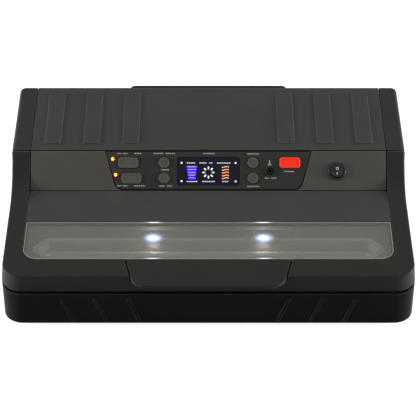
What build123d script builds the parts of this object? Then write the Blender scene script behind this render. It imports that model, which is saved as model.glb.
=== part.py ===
from build123d import *
from math import atan2, cos, degrees, radians, sin, sqrt, tan
import os

os.makedirs("parts", exist_ok=True)

# A table-top vacuum sealer for bags on 300 mm rolls. Millimetres, +Z up, front towards -Y.
# The lid hinges at the rear of the sloping control console, which stays on the base.

# ---------------------------------------------------------------- driving sizes
body_width = 400.0
body_depth = 251.8
foot_height = 3.5
lid_edge_height = 62.0        # top front edge of the lid above the table
carry_reach = 26.0            # carry handle behind the rear wall
grip_overhang = 12.0          # front handle ahead of the lid's edge

# slopes in degrees from level, and lengths along them
lid_tilt = 7.2
lid_length = 122.8
console_tilt = 49.3
console_length = 40.6
cover_tilt = 7.8
arm_bend_radius = 54.0
end_tilt = 10.0               # rear ends of the lid's arms, from upright
draft = 1.3

# walls, gaps and corners
wall = 2.5
fit_gap = 0.3
seat_gap = 0.02               # fixed pins, screws and inserts in their holes
split_gap = 1.8               # groove between lid and base
seam_gap = 2.6                # between console or arms and the rear housing
front_corner = 20.0
rear_corner = 6.0
floor_round = 1.5
edge_round = 2.0
past_seam = 20.0              # blanks of the lid run this far past the seam before they are cut

# base
base_margin = 2.1             # base wider than the body's nominal width, each side
post_inset = 16.6             # screw posts inside the base's side
foot_radius = 9.0
foot_inset = 26.0
screw_radius = 1.5
screw_head_radius = 3.0
screw_head_height = 1.6
post_radius = 4.5
rib_width = 3.6
rib_raise = 1.5
rib_round = 1.0
rib_pitch = 32.4
rib_start = 67.9
rib_lean = 10.0               # sideways lean of a rib over its height
rib_top = 28.5                # below the lid's edge
rib_foot = 4.0                # above the underside

# deck and sealing chamber, depths measured square to the lid's top
deck_depth = 16.5
deck_wall = 2.5
skirt_depth = 5.0             # stiffening skirt under the deck's edge
skirt_wall = 2.0
deck_gap = 2.7
deck_front = 4.0              # behind the lid's edge
chamber_margin = 28.2         # from each side of the body to the tips of the gasket's centre line
chamber_width = 25.2
chamber_middle = 42.0         # behind the lid's edge
chamber_round = 4.0
gasket_width = 5.0
gasket_joint = 11.35          # depth where upper and lower gasket meet
gasket_groove = 1.0
trough_depth = 11.5
trough_wall = 1.0
trough_seat = 0.8             # thickness of the lip on the deck
trough_lip = 3.2
light_offset = 54.5
light_behind = 24.5           # lights behind the chamber's middle, outside its ring
light_radius = 1.4
light_pin = 0.8
light_top = 11.4

# sealing bar
bar_front = 6.0
bar_width = 10.0
bar_margin = 16.8             # from the chamber's tips to the bar's ends
wire_width = 5.0
wire_thickness = 0.5
tape_thickness = 0.3
strip_width = 9.0
strip_top = 8.2               # depth of the strip's seat under the lid

# lid
rim_height = 19.4
rim_flare = 2.4               # the rim's foot wider than the body's nominal width, each side
rim_shoulder = 3.0            # straight part of the rim under its top edge
arm_margin = 0.5              # the arms wider than the nominal width, each side
arm_width = 17.6
skin = 3.0
window_front = 24.4
window_rear = 77.3
window_corner = 14.0
window_seat = 3.5
window_drop = 0.4
ledge = 3.2
front_ledge = 2.2
crossbar_width = 7.0
crossbar_depth = 8.0
panel_gap = 0.4

# front handle and latch
grip_rear_half = 81.0
grip_rim_half = 75.0
grip_thickness = 2.8
grip_corner = 14.0
grip_gap = 1.2
grip_pivot = 20.0             # behind the lid's edge
grip_pivot_depth = 3.6
grip_pin_radius = 1.2
grip_barrel = 2.3
pocket_depth = 6.2
hook_offset = 50.0
hook_width = 10.0
hook_thickness = 3.0
hook_reach = 24.9
hook_nose = 1.6
hook_nose_height = 3.0
catch_thickness = 1.5
catch_length = 6.4

# lid hinge
hinge_back = 14.0             # pivot behind the top of the console
hinge_drop = 6.0
hinge_pin_radius = 2.0
running_gap = 0.05
hinge_barrel = 4.5
neck_thickness = 3.5
neck_width = 6.0
neck_drop = 21.0
neck_reach = 36.0
neck_foot = 36.0               # lowest edge of the neck below the pivot
neck_screw_radius = 1.2
neck_screw_levels = (3.0, 8.0)
neck_bar = 5.5
ear_thickness = 2.6
ear_gap = 0.4
ear_depth = 30.0
hinge_margin = 9.25           # hinge line inside each side of the body

# console
console_gap = 1.2             # between the console and the lid's arms
face_wall = 3.0
flange_drop = 4.0             # flange under the cover's front edge
flange_thickness = 1.6
inset_top_half = 104.6
inset_foot_half = 93.5
inset_foot = 1.5
inset_thickness = 1.2
inset_sink = 1.0
inset_corner = 10.0
inset_gap = 1.0
inset_gutter = 1.2            # groove round the inset, below its seat
screen_length = 62.5
screen_height = 28.0
screen_middle = 19.9
screen_lip = 2.0
screen_gap = 0.6
module_thickness = 3.4
key_gap = 0.45
key_proud = 1.0
key_edge_round = 0.5
key_travel = 0.8
key_flange = 1.2
key_flange_thickness = 1.2
bag_key_length = 19.8
start_key_length = 20.8
key_height = 11.0
key_corner = 2.8
key_dish = 0.25
key_dish_rim = 2.2
round_key_radius = 5.4
round_key_offset = 45.3
lower_row = 12.65
upper_row = 28.55
board_depth = 9.0
board_thickness = 1.6
led_radius = 1.5
port_offset = 62.9
port_height = 19.8
port_radius = 3.6
port_bore = 1.8
port_length = 14.0
switch_margin = 51.3          # inside the arm's inner face
switch_radius = 8.9
switch_body_radius = 7.9
switch_depth = 14.0
rocker_radius = 6.4
rocker_well = 7.2
rocker_swing = 16.0
rocker_pin_radius = 1.0
rocker_pivot_depth = 1.6

# rear housing
cheek_width = 18.7
housing_flare = 2.2           # its foot wider than the nominal width, each side
housing_side = 1.8            # its hollow inside the nominal width, each side
cover_thickness = 3.0
bevel_run = 9.0
bevel_drop = 0.6
cheek_round = 4.0             # also along the rear of the cover
cover_flange = 14.0
band_pitch = 40.0              # raised bands on the cover
band_margin = 21.3            # from the cover's side to the middle of the outer band
band_width = 17.0
band_start = 11.0
band_end = 91.4
band_raise = 0.9
band_corner = 3.0
band_round = 0.6
cover_gap = 0.8

# carry handle
carry_half = 84.5
carry_bar = 9.0
carry_height = 13.0
carry_post = 12.0
carry_drop = 14.6             # its top below the cover's rear edge

# drives and supply
pump_offset = 98.0
pump_behind = 52.5            # behind the console's top edge
motor_radius = 17.0
motor_length = 52.0
pump_head_length = 42.0
pump_width = 46.0
pump_height = 60.0
hose_offset = 80.0
hose_level = 23.0
nipple_length = 6.0
valve_size = 18.0
valve_height = 20.0
supply_length = 100.0
supply_width = 54.0
supply_behind = 134.0
supply_level = 12.0
capacitor_places = (-28.0, -14.0)
capacitor_radius = 5.5
capacitor_height = 18.0
relay_middle = 16.0
relay_length = 28.0
relay_height = 16.0
pump_plate = 3.0
mount_height = 9.0
mount_radius = 6.0
transformer_clear = 7.5       # ahead of the fan
transformer_length = 58.0
transformer_width = 44.0
transformer_height = 42.0
winding_bulge = 6.0
fan_size = 40.0
fan_thickness = 10.0
fan_bore = 18.5
fan_hub = 8.5
fan_shaft = 1.5
fan_height = 42.0
fan_blades = 7
inlet_margin = 52.1           # inside the base's side
inlet_height = 34.0
inlet_cavity = (24.4, 16.8)
inlet_depth = 16.0
inlet_pin_length = 10.0
hose_radius = 4.0
hose_bore = 2.5

# ---------------------------------------------------------------- derived places
tilt_cos = cos(radians(lid_tilt))
tilt_sin = sin(radians(lid_tilt))
front = -(body_depth + carry_reach - grip_overhang * tilt_cos) / 2
rear = front + body_depth
base_half = body_width / 2 + base_margin
inlet_offset = base_half - inlet_margin
bend_y = front + lid_length * tilt_cos
bend_z = lid_edge_height + lid_length * tilt_sin
seam_y = bend_y + console_length * cos(radians(console_tilt))
seam_z = bend_z + console_length * sin(radians(console_tilt))
pivot_y = seam_y + hinge_back
pivot_z = seam_z - hinge_drop
floor_top = foot_height + wall
beyond = 2 * body_width                       # clears every piece, for cuts
base_edge = rim_height + split_gap            # depth of the base's rim under the lid's top
rise = console_tilt - lid_tilt                # console against the lid
seam_s = lid_length + console_length * cos(radians(rise))
seam_n = console_length * sin(radians(rise))
recess_half = body_width / 2 - arm_width
console_half = recess_half - console_gap
chamber_length = body_width - 2 * chamber_margin
bar_length = chamber_length - 2 * bar_margin
hinge_offset = body_width / 2 - hinge_margin
cover_half = body_width / 2 - cheek_width
switch_offset = recess_half - switch_margin

lid_plane = Plane(origin=(0, front, lid_edge_height), x_dir=(1, 0, 0), z_dir=(0, -tilt_sin, tilt_cos))
console_plane = Plane(
    origin=(0, bend_y, bend_z),
    x_dir=(1, 0, 0),
    z_dir=(0, -sin(radians(console_tilt)), cos(radians(console_tilt))),
)
cover_plane = Plane(
    origin=(0, seam_y, seam_z),
    x_dir=(1, 0, 0),
    z_dir=(0, -sin(radians(cover_tilt)), cos(radians(cover_tilt))),
)


# ---------------------------------------------------------------- helpers
def lid_side(x):
    """Side-view plane at x whose axes run along the lid's top and square to it."""
    return Plane(origin=(x, front, lid_edge_height), x_dir=(0, tilt_cos, tilt_sin), z_dir=(1, 0, 0))


def side_face(plane, points):
    """A closed polygon on a plane."""
    with BuildSketch(plane) as face:
        with BuildLine():
            Polyline(*points, close=True)
        make_face()
    return face.sketch


def block(plane, x_range, y_range, z_range, mode=Mode.ADD):
    """A block given by its two limits along each axis of a plane."""
    with BuildSketch(plane.offset(z_range[0])) as face:
        with Locations(((x_range[0] + x_range[1]) / 2, (y_range[0] + y_range[1]) / 2)):
            Rectangle(x_range[1] - x_range[0], y_range[1] - y_range[0])
    extrude(face.sketch, amount=z_range[1] - z_range[0], mode=mode)


def disc(plane, place, radius, z_range, mode=Mode.ADD):
    """A cylinder at a place on a plane, between two heights."""
    with BuildSketch(plane.offset(z_range[0])) as face:
        with Locations(place):
            Circle(radius)
    extrude(face.sketch, amount=z_range[1] - z_range[0], mode=mode)


def rod(x_range, place, radius, mode=Mode.ADD):
    """A cylinder along X, its axis at (y, z)."""
    disc(Plane.YZ, place, radius, x_range, mode)


def span(middle, half):
    """Two limits, a half length each side of a middle."""
    return (middle - half, middle + half)


def on_side(side, inner, outer):
    """Two limits along X on one side of the middle plane, in rising order."""
    return sorted((side * inner, side * outer))


def plan(plane, half_width, y_range, front_radius, rear_radius, rim=0):
    """A rounded rectangle with its own front and rear corner radii, or only a rim of it."""
    with BuildSketch(plane) as face:
        with Locations((0, (y_range[0] + y_range[1]) / 2)):
            Rectangle(2 * half_width, y_range[1] - y_range[0])
        fillet(face.vertices().group_by(Axis.Y)[0], front_radius)
        fillet(face.vertices().group_by(Axis.Y)[-1], rear_radius)
        if rim:
            offset(amount=-rim, mode=Mode.SUBTRACT)
    return face.sketch


def meet(p, p_angle, q, q_angle):
    """Crossing point of two lines, each given by a point and a direction in degrees."""
    a = radians(p_angle)
    b = radians(q_angle)
    reach = ((q[0] - p[0]) * sin(b) - (q[1] - p[1]) * cos(b)) / sin(b - a)
    return (p[0] + reach * cos(a), p[1] + reach * sin(a))


def finish(part, name):
    part.part.label = name
    export_step(part.part, f"parts/{name}.step")


def arm_profile(x, inset, depth, end_inset, start):
    """Side outline of the lid with its arms' curve up to the seam, pulled in by inset."""
    end_angle = 90 - end_tilt - lid_tilt
    end_point = (seam_s - end_inset / sin(radians(end_angle)), seam_n)
    slope_point = (lid_length + inset * sin(radians(rise)), -inset * cos(radians(rise)))
    corner = meet((0, -inset), 0, slope_point, rise)
    top = meet(slope_point, rise, end_point, end_angle)
    foot = meet((0, -depth), 0, end_point, end_angle)
    with BuildSketch(lid_side(x)) as face:
        with BuildLine():
            Polyline((start, -depth), (start, -inset), corner, top, foot, close=True)
        make_face()
        fillet(face.vertices().sort_by_distance((corner[0], corner[1], 0))[0], arm_bend_radius + inset)
    return face.sketch


def chamber(plane, grow):
    """The long six-sided outline of the vacuum chamber, grown by an offset."""
    half = chamber_width / 2 + grow
    tip = chamber_length / 2 + grow * sqrt(2)
    with BuildSketch(plane) as face:
        with BuildLine():
            Polyline(
                (tip, chamber_middle),
                (tip - half, chamber_middle + half),
                (half - tip, chamber_middle + half),
                (-tip, chamber_middle),
                (half - tip, chamber_middle - half),
                (tip - half, chamber_middle - half),
                close=True,
            )
        make_face()
        fillet(face.vertices(), chamber_round + grow * 0.5)
    return face.sketch


def grip_outline(plane, grow, reach):
    """Plan of the front handle, wider towards the window."""
    lean = (grip_rear_half - grip_rim_half) / window_front
    rear_edge = window_front - fit_gap + min(grow, fit_gap)
    front_half = grip_rim_half - reach * lean + grow
    rear_half = grip_rim_half + rear_edge * lean + grow
    with BuildSketch(plane) as face:
        with BuildLine():
            Polyline(
                (-rear_half, rear_edge),
                (rear_half, rear_edge),
                (front_half, -reach),
                (-front_half, -reach),
                close=True,
            )
        make_face()
        fillet(face.vertices().group_by(Axis.Y)[0], grip_corner)
    return face.sketch


# ---------------------------------------------------------------- base pan
post_places = [(side * (base_half - post_inset), y) for side in (-1, 1) for y in (front + 50, front + 118)]
post_places += [(side * 62.0, front + 88) for side in (-1, 1)]
pillar_x = (hinge_offset - neck_thickness / 2 - ear_gap - ear_thickness, body_width / 2 - wall - 0.5)
pillar_y = (pivot_y - hinge_barrel, pivot_y + hinge_barrel + 4.0)
pillar_top = pivot_z - ear_depth
foot_places = [
    (side * (base_half - foot_inset), y)
    for side in (-1, 1)
    for y in (front + foot_inset, rear - foot_inset)
]
mount_places = [
    (side * pump_offset + dx, seam_y + pump_behind + dy)
    for side in (-1, 1)
    for dx in (-34.0, 34.0)
    for dy in (-16.0, 16.0)
]
rear_plane = Plane(origin=(0, rear, 0), x_dir=(1, 0, 0), z_dir=(0, -1, 0))
supply_posts = [
    (side * (supply_length / 2 - 5), front + supply_behind + end * (supply_width / 2 - 5))
    for side in (-1, 1)
    for end in (-1, 1)
]

with BuildPart() as base_pan:
    extrude(plan(Plane.XY.offset(foot_height), base_half, (front, rear), front_corner, rear_corner),
            amount=beyond)
    split(bisect_by=lid_plane.offset(-base_edge), keep=Keep.BOTTOM)
    fillet(base_pan.faces().sort_by(Axis.Z)[0].edges(), floor_round)
    offset(amount=-wall, openings=base_pan.faces().sort_by(Axis.Z)[-1])
    # leaning ribs on the front
    for side in (-1, 1):
        for step in range(3):
            foot_x = side * (rib_start + step * rib_pitch)
            top_x = foot_x + side * rib_lean
            foot_z = foot_height + rib_foot
            top_z = lid_edge_height - rib_top
            length = sqrt((top_x - foot_x) ** 2 + (top_z - foot_z) ** 2)
            angle = degrees(atan2(top_z - foot_z, top_x - foot_x))
            with BuildSketch(Plane.XZ.offset(-front)) as rib:
                with Locations(Location(((foot_x + top_x) / 2, (foot_z + top_z) / 2), angle)):
                    SlotCenterToCenter(length, rib_width)
            extrude(rib.sketch, amount=rib_raise)
    crests = base_pan.faces().filter_by(lambda f: f.center().Y < front - rib_raise / 2)
    fillet(ShapeList([e for f in crests for e in f.edges()]), rib_round)
    # hinge pillars
    for side in (-1, 1):
        block(Plane.XY, on_side(side, *pillar_x), pillar_y, (foot_height + 1, pillar_top))
    # screw holes under the deck's posts
    for place in post_places:
        disc(Plane.XY, place, screw_radius + fit_gap, (foot_height - 1, floor_top + 1), Mode.SUBTRACT)
    for place in supply_posts:
        disc(Plane.XY, place, 3.0, (foot_height + 1, supply_level))
    # feet seats
    for place in foot_places:
        disc(Plane.XY, place, foot_radius * 0.4 + seat_gap, (foot_height - 1, floor_top + 1), Mode.SUBTRACT)
    # fan grille
    for row in range(-3, 4):
        reach = sqrt(max(fan_bore ** 2 - (row * 5.0) ** 2, 0)) - 1.5
        block(rear_plane, (-reach, reach), (fan_height + row * 5.0 - 1.4, fan_height + row * 5.0 + 1.4),
              (-1, wall + 1), Mode.SUBTRACT)
    # mains inlet opening
    inlet_x = (inlet_offset - inlet_cavity[0] / 2 - 2, inlet_offset + inlet_cavity[0] / 2 + 2)
    inlet_z = (inlet_height - inlet_cavity[1] / 2 - 2, inlet_height + inlet_cavity[1] / 2 + 2)
    block(rear_plane, inlet_x, inlet_z, (-1, wall + 1), Mode.SUBTRACT)
finish(base_pan, "base_pan")

with BuildPart() as rubber_feet:
    for place in foot_places:
        disc(Plane.XY, place, foot_radius, (0, foot_height))
        disc(Plane.XY, place, foot_radius * 0.4, (foot_height, floor_top + 1.5))
    fillet(rubber_feet.faces().filter_by(lambda f: f.center().Z < 0.01).edges(), 0.6)
finish(rubber_feet, "rubber_feet")

with BuildPart() as case_screws:
    for place in post_places:
        disc(Plane.XY, place, screw_head_radius, (foot_height - screw_head_height, foot_height))
        disc(Plane.XY, place, screw_radius, (foot_height, floor_top + 9))
finish(case_screws, "case_screws")

# ---------------------------------------------------------------- deck and chamber
deck_half = base_half - wall - deck_gap
deck_rear = seam_s - 18.0
deck_under = deck_depth + deck_wall
hook_slot = (bar_front + bar_width + 0.8, grip_pivot + 6.0)
catch_front = grip_pivot + 6.1
light_place = chamber_middle + light_behind

with BuildPart() as upper_deck:
    for place in post_places:
        disc(Plane.XY, place, post_radius, (floor_top, beyond))
    split(bisect_by=lid_plane.offset(-deck_under + 0.5), keep=Keep.BOTTOM)
    extrude(plan(lid_plane.offset(-deck_under), deck_half, (deck_front, deck_rear), front_corner - wall, 3),
            amount=deck_wall)
    # stiffening skirt under the edge
    extrude(plan(lid_plane.offset(-deck_under - skirt_depth), deck_half, (deck_front, deck_rear),
                 front_corner - wall, 3, skirt_wall), amount=skirt_depth + 0.5)
    groove_floor = lid_plane.offset(-deck_depth - gasket_groove)
    extrude(chamber(groove_floor, gasket_width / 2 + 0.1), amount=gasket_groove, mode=Mode.SUBTRACT)
    extrude(chamber(groove_floor, -gasket_width / 2 - 0.1), amount=gasket_groove)
    extrude(chamber(lid_plane.offset(-deck_under - 1), -gasket_width / 2 - trough_lip + 0.5),
            amount=deck_wall + 2, mode=Mode.SUBTRACT)
    for side in (-1, 1):
        block(lid_plane, span(side * hook_offset, hook_width / 2 + 1.5), hook_slot,
              (-deck_under - 1, -deck_depth + 1), Mode.SUBTRACT)
        disc(lid_plane, (side * light_offset, light_place), light_pin + seat_gap,
             (-deck_under - 1, -deck_depth + 1), Mode.SUBTRACT)
    block(lid_plane, (-console_half + 8, console_half - 8), (lid_length + 5, deck_rear - 5),
          (-deck_under - 6, -deck_depth + 1), Mode.SUBTRACT)
    for place in post_places:
        disc(Plane.XY, place, screw_radius + seat_gap, (floor_top - 1, floor_top + 10), Mode.SUBTRACT)
finish(upper_deck, "upper_deck")

trough_bottom = deck_depth + trough_depth
spigot_depth = trough_bottom + 5

with BuildPart() as vacuum_trough:
    trough_grow = -gasket_width / 2 - trough_lip
    extrude(chamber(lid_plane.offset(-deck_depth), -gasket_width / 2 - trough_seat), amount=trough_seat)
    extrude(chamber(lid_plane.offset(-deck_depth - trough_depth), trough_grow), amount=trough_depth)
    extrude(chamber(lid_plane.offset(-deck_depth - trough_depth + trough_wall), trough_grow - trough_wall),
            amount=trough_depth + 2, mode=Mode.SUBTRACT)
    for side in (-1, 1):
        place = (side * hose_offset, chamber_middle)
        disc(lid_plane, place, hose_radius, (-spigot_depth, -trough_bottom))
        disc(lid_plane, place, hose_bore, (-spigot_depth - 1, -trough_bottom + 3), Mode.SUBTRACT)
    disc(lid_plane, (0, chamber_middle), hose_bore, (-trough_bottom - 1, -trough_bottom + 3), Mode.SUBTRACT)
finish(vacuum_trough, "vacuum_trough")

with BuildPart() as lower_gasket:
    gasket_foot = -deck_depth - gasket_groove
    gasket_height = -gasket_joint - 0.15 - gasket_foot
    extrude(chamber(lid_plane.offset(gasket_foot), gasket_width / 2), amount=gasket_height)
    extrude(chamber(lid_plane.offset(gasket_foot - 1), -gasket_width / 2), amount=30, mode=Mode.SUBTRACT)
finish(lower_gasket, "lower_gasket")

strip_under = gasket_joint - 0.15
tape_top = gasket_joint + 0.15
bar_middle = bar_front + bar_width / 2
bar_top = tape_top + tape_thickness + wire_thickness
with BuildPart() as seal_bar:
    block(lid_plane, span(0, bar_length / 2), (bar_front, bar_front + bar_width), (-deck_depth, -bar_top))
    fillet(seal_bar.edges().filter_by(Axis.X).group_by(Axis.Z)[-1], 0.6)
finish(seal_bar, "seal_bar")

with BuildPart() as heating_wire:
    block(lid_plane, span(0, bar_length / 2 - 2), span(bar_middle, wire_width / 2),
          (-bar_top, -bar_top + wire_thickness))
finish(heating_wire, "heating_wire")

with BuildPart() as ptfe_tape:
    block(lid_plane, span(0, bar_length / 2), span(bar_middle, bar_width / 2 + 0.2),
          (-tape_top - tape_thickness, -tape_top))
finish(ptfe_tape, "ptfe_tape")

with BuildPart() as latch_catches:
    for side in (-1, 1):
        block(lid_plane, span(side * hook_offset, hook_width), (catch_front, catch_front + catch_length),
              (-deck_under - catch_thickness, -deck_under))
finish(latch_catches, "latch_catches")

with BuildPart() as chamber_lights:
    for side in (-1, 1):
        place = (side * light_offset, light_place)
        disc(lid_plane, place, light_radius, (-deck_depth, -light_top))
        disc(lid_plane, place, light_pin, (-deck_under - 3, -deck_depth))
    lens = chamber_lights.faces().sort_by(Axis((0, front, 0), lid_plane.z_dir))[-2:]
    fillet(ShapeList([e for f in lens for e in f.edges()]), 0.5)
finish(chamber_lights, "chamber_lights")

sensor_place = (-bar_length / 2 + 5, window_front - 3)
with BuildPart() as lid_sensor:
    block(lid_plane, span(sensor_place[0], 6), span(sensor_place[1], 3), (-deck_under - 5, -deck_under))
finish(lid_sensor, "lid_sensor")

# ---------------------------------------------------------------- lid
rim_half = body_width / 2 + rim_flare
rim_lean = 0.4
arm_half = body_width / 2 + arm_margin
magnet_radius = 3.0
slot_ahead = 1.6
slot_behind = grip_pivot + 5.0
lug_x = (grip_rear_half - 13.0, grip_rear_half - 1.5)

panel_screw_places = [(side * dx, lid_length - crossbar_width / 2 - 1.2) for side in (-1, 1)
                      for dx in (recess_half - 122.4, recess_half - 42.4)]

with BuildPart() as lid_cavity:
    extrude(plan(lid_plane.offset(-rim_height - 1), body_width / 2 - wall + 0.1, (wall, seam_s + past_seam),
                 front_corner - wall, 1), amount=beyond)
    extrude(arm_profile(-rim_half, skin, rim_height + 1, wall, wall), amount=2 * rim_half,
            mode=Mode.INTERSECT)
    block(lid_plane, span(0, recess_half + wall), (window_front - wall, seam_s + 1.5 * past_seam),
          (-rim_height - 2, beyond), Mode.SUBTRACT)
    block(lid_plane, span(0, bar_length / 2 + 2), (-5, window_front), (-strip_top, 5), Mode.SUBTRACT)

with BuildPart() as lid_frame:
    loft([
        plan(lid_plane.offset(-rim_height), rim_half, (-rim_lean, seam_s + past_seam), front_corner, 1),
        plan(lid_plane.offset(-rim_shoulder), arm_half, (0, seam_s + past_seam), front_corner, 1),
    ])
    extrude(plan(lid_plane.offset(-rim_shoulder), arm_half, (0, seam_s + past_seam), front_corner, 1),
            amount=rim_shoulder + seam_n + 7)
    extrude(arm_profile(-rim_half - 5, 0, rim_height, 0, -5), amount=2 * rim_half + 10, mode=Mode.INTERSECT)
    tops = lid_frame.faces().filter_by(lambda f: f.normal_at().Z > 0.5)
    rims = [e for f in tops for e in f.edges() if abs(e.center().X) > 150 or e.center().Y < front + 2]
    fillet(ShapeList(rims), edge_round)
    extrude(plan(lid_plane.offset(-window_seat), recess_half, (window_front, seam_s + 1.5 * past_seam),
                 window_corner, 1), amount=beyond, mode=Mode.SUBTRACT)
    extrude(plan(lid_plane.offset(-rim_height - 1), recess_half - ledge,
                 (window_front + front_ledge, window_rear - crossbar_width / 2), window_corner - ledge, 2),
            amount=rim_height + 2, mode=Mode.SUBTRACT)
    panel_hollow = (window_rear + crossbar_width / 2, lid_length - crossbar_width)
    block(lid_plane, span(0, recess_half - ledge), panel_hollow, (-rim_height - 1, 1), Mode.SUBTRACT)
    block(lid_plane, span(0, recess_half), (lid_length - 2.4, seam_s + 1.5 * past_seam),
          (-rim_height - 1, beyond), Mode.SUBTRACT)
    block(lid_plane, span(0, recess_half), (window_front - wall, lid_length),
          (-rim_height - 1, -crossbar_depth), Mode.SUBTRACT)
    add(lid_cavity.part, mode=Mode.SUBTRACT)
    # arms' inner walls stop above the deck
    block(lid_plane, span(0, body_width / 2 - wall - 1), (wall + 2, seam_s + 5),
          (-rim_height - 1, -deck_depth + 0.7), Mode.SUBTRACT)
    # pocket under the front handle, its pins, and the slots of the latch hooks
    extrude(grip_outline(lid_plane.offset(-pocket_depth), grip_gap, grip_overhang + 8), amount=20,
            mode=Mode.SUBTRACT)
    for side in (-1, 1):
        block(lid_plane, span(side * hook_offset, hook_width / 2 + 1), (grip_pivot - slot_ahead, slot_behind),
              (-strip_top - 2, 1), Mode.SUBTRACT)
        pin_x = on_side(side, lug_x[1] - 1, grip_rear_half + 12)
        disc(lid_side(0), (grip_pivot, -grip_pivot_depth), grip_pin_radius + seat_gap, pin_x, Mode.SUBTRACT)
    disc(lid_plane, sensor_place, magnet_radius + seat_gap, (-strip_top - 1, -strip_top + 2.5), Mode.SUBTRACT)
    for place in panel_screw_places:
        disc(lid_plane, place, screw_radius + seat_gap, (-crossbar_depth - 1, 0), Mode.SUBTRACT)
    # slots for the hinge necks, and a boss that each neck is screwed to
    for side in (-1, 1):
        neck_end = pivot_y - neck_reach
        block(Plane.XY, span(side * hinge_offset, neck_thickness / 2 + 1), (neck_end + 12, pivot_y),
              (pivot_z - neck_drop - 1.5, pivot_z - neck_drop + neck_bar + 1.5), Mode.SUBTRACT)
        boss_x = on_side(side, hinge_offset + neck_thickness / 2, body_width / 2 - wall + 0.6)
        boss_foot = pivot_z - neck_foot
        block(Plane.XY, boss_x, (neck_end, neck_end + 12), (boss_foot - 1, boss_foot + 12))
        for dz in neck_screw_levels:
            disc(Plane.YZ, (neck_end + 6, pivot_z - neck_foot + dz), neck_screw_radius + seat_gap,
                 on_side(side, hinge_offset, hinge_offset + 6.5), Mode.SUBTRACT)
finish(lid_frame, "lid_frame")

with BuildPart() as lid_window:
    extrude(plan(lid_plane.offset(-window_seat), recess_half - panel_gap,
                 (window_front + panel_gap, window_rear - panel_gap / 2), window_corner - panel_gap, 1.5),
            amount=window_seat - window_drop)
    chamfer(lid_window.faces().sort_by(Axis((0, front, 0), lid_plane.z_dir))[-1].edges(), 0.5)
finish(lid_window, "lid_window")

with BuildPart() as lid_panel:
    block(lid_plane, span(0, recess_half - panel_gap), (window_rear + panel_gap / 2, lid_length - 0.4),
          (-window_seat, 0))
    for place in panel_screw_places:
        disc(lid_plane, place, screw_radius + seat_gap, (-window_seat - 1, -1.2), Mode.SUBTRACT)
finish(lid_panel, "lid_panel")

with BuildPart() as lid_screws:
    for place in panel_screw_places:
        disc(lid_plane, place, screw_radius, (-crossbar_depth, -1.4))
        disc(lid_plane, place, screw_head_radius - 0.6,
             (-crossbar_depth - screw_head_height, -crossbar_depth))
finish(lid_screws, "lid_screws")

with BuildPart() as upper_gasket:
    extrude(chamber(lid_plane.offset(-gasket_joint + 0.15), gasket_width / 2),
            amount=gasket_joint - 0.15 - window_seat)
    extrude(chamber(lid_plane.offset(-gasket_joint), -gasket_width / 2), amount=20, mode=Mode.SUBTRACT)
finish(upper_gasket, "upper_gasket")

with BuildPart() as pressure_strip:
    block(lid_plane, span(0, bar_length / 2), span(bar_middle, strip_width / 2), (-strip_under, -strip_top))
    fillet(pressure_strip.edges().filter_by(Axis.X).group_by(Axis.Z)[0], 0.8)
finish(pressure_strip, "pressure_strip")

with BuildPart() as lid_magnet:
    disc(lid_plane, sensor_place, magnet_radius, (-strip_top, -strip_top + 2.5))
finish(lid_magnet, "lid_magnet")

# ---------------------------------------------------------------- front handle
grip_axis = (grip_pivot, -grip_pivot_depth)

with BuildPart() as front_handle:
    extrude(grip_outline(lid_plane.offset(-grip_thickness), 0, grip_overhang), amount=grip_thickness)
    top_face = front_handle.faces().filter_by(lambda f: f.normal_at().Z > 0.9).sort_by(Axis.Z)[-1]
    fillet(top_face.edges().filter_by(lambda e: e.center().Y < front + window_front * tilt_cos - 1), 1.0)
    for side in (-1, 1):
        xs = on_side(side, *lug_x)
        disc(lid_side(0), grip_axis, grip_barrel, xs)
        block(lid_side(0), span(grip_pivot, grip_barrel), (-grip_pivot_depth, -grip_thickness / 2), xs)
        disc(lid_side(0), grip_axis, grip_pin_radius + running_gap, (xs[0] - 1, xs[1] + 1), Mode.SUBTRACT)
finish(front_handle, "front_handle")

with BuildPart() as handle_pins:
    for side in (-1, 1):
        disc(lid_side(0), grip_axis, grip_pin_radius, on_side(side, lug_x[0] - 0.5, grip_rear_half + 11))
finish(handle_pins, "handle_pins")

hook_front = grip_pivot + 0.3
with BuildPart() as latch_hooks:
    for side in (-1, 1):
        with BuildSketch(lid_side(side * hook_offset - hook_width / 2)) as hook:
            with BuildLine():
                Polyline(
                    (hook_front - 12, -grip_thickness),
                    (hook_front + hook_thickness, -grip_thickness),
                    (hook_front + hook_thickness, hook_nose_height - hook_reach),
                    (hook_front + hook_thickness + hook_nose, hook_nose_height - hook_reach),
                    (hook_front + hook_thickness, -hook_reach),
                    (hook_front, -hook_reach),
                    (hook_front, -grip_thickness - 1.2),
                    (hook_front - 12, -grip_thickness - 1.2),
                    close=True,
                )
            make_face()
        extrude(hook.sketch, amount=hook_width)
finish(latch_hooks, "latch_hooks")

# ---------------------------------------------------------------- lid hinge
with BuildPart() as hinge_pins:
    for side in (-1, 1):
        half = neck_thickness / 2 + ear_gap + ear_thickness + 0.8
        rod(span(side * hinge_offset, half), (pivot_y, pivot_z), hinge_pin_radius)
finish(hinge_pins, "hinge_pins")


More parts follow.
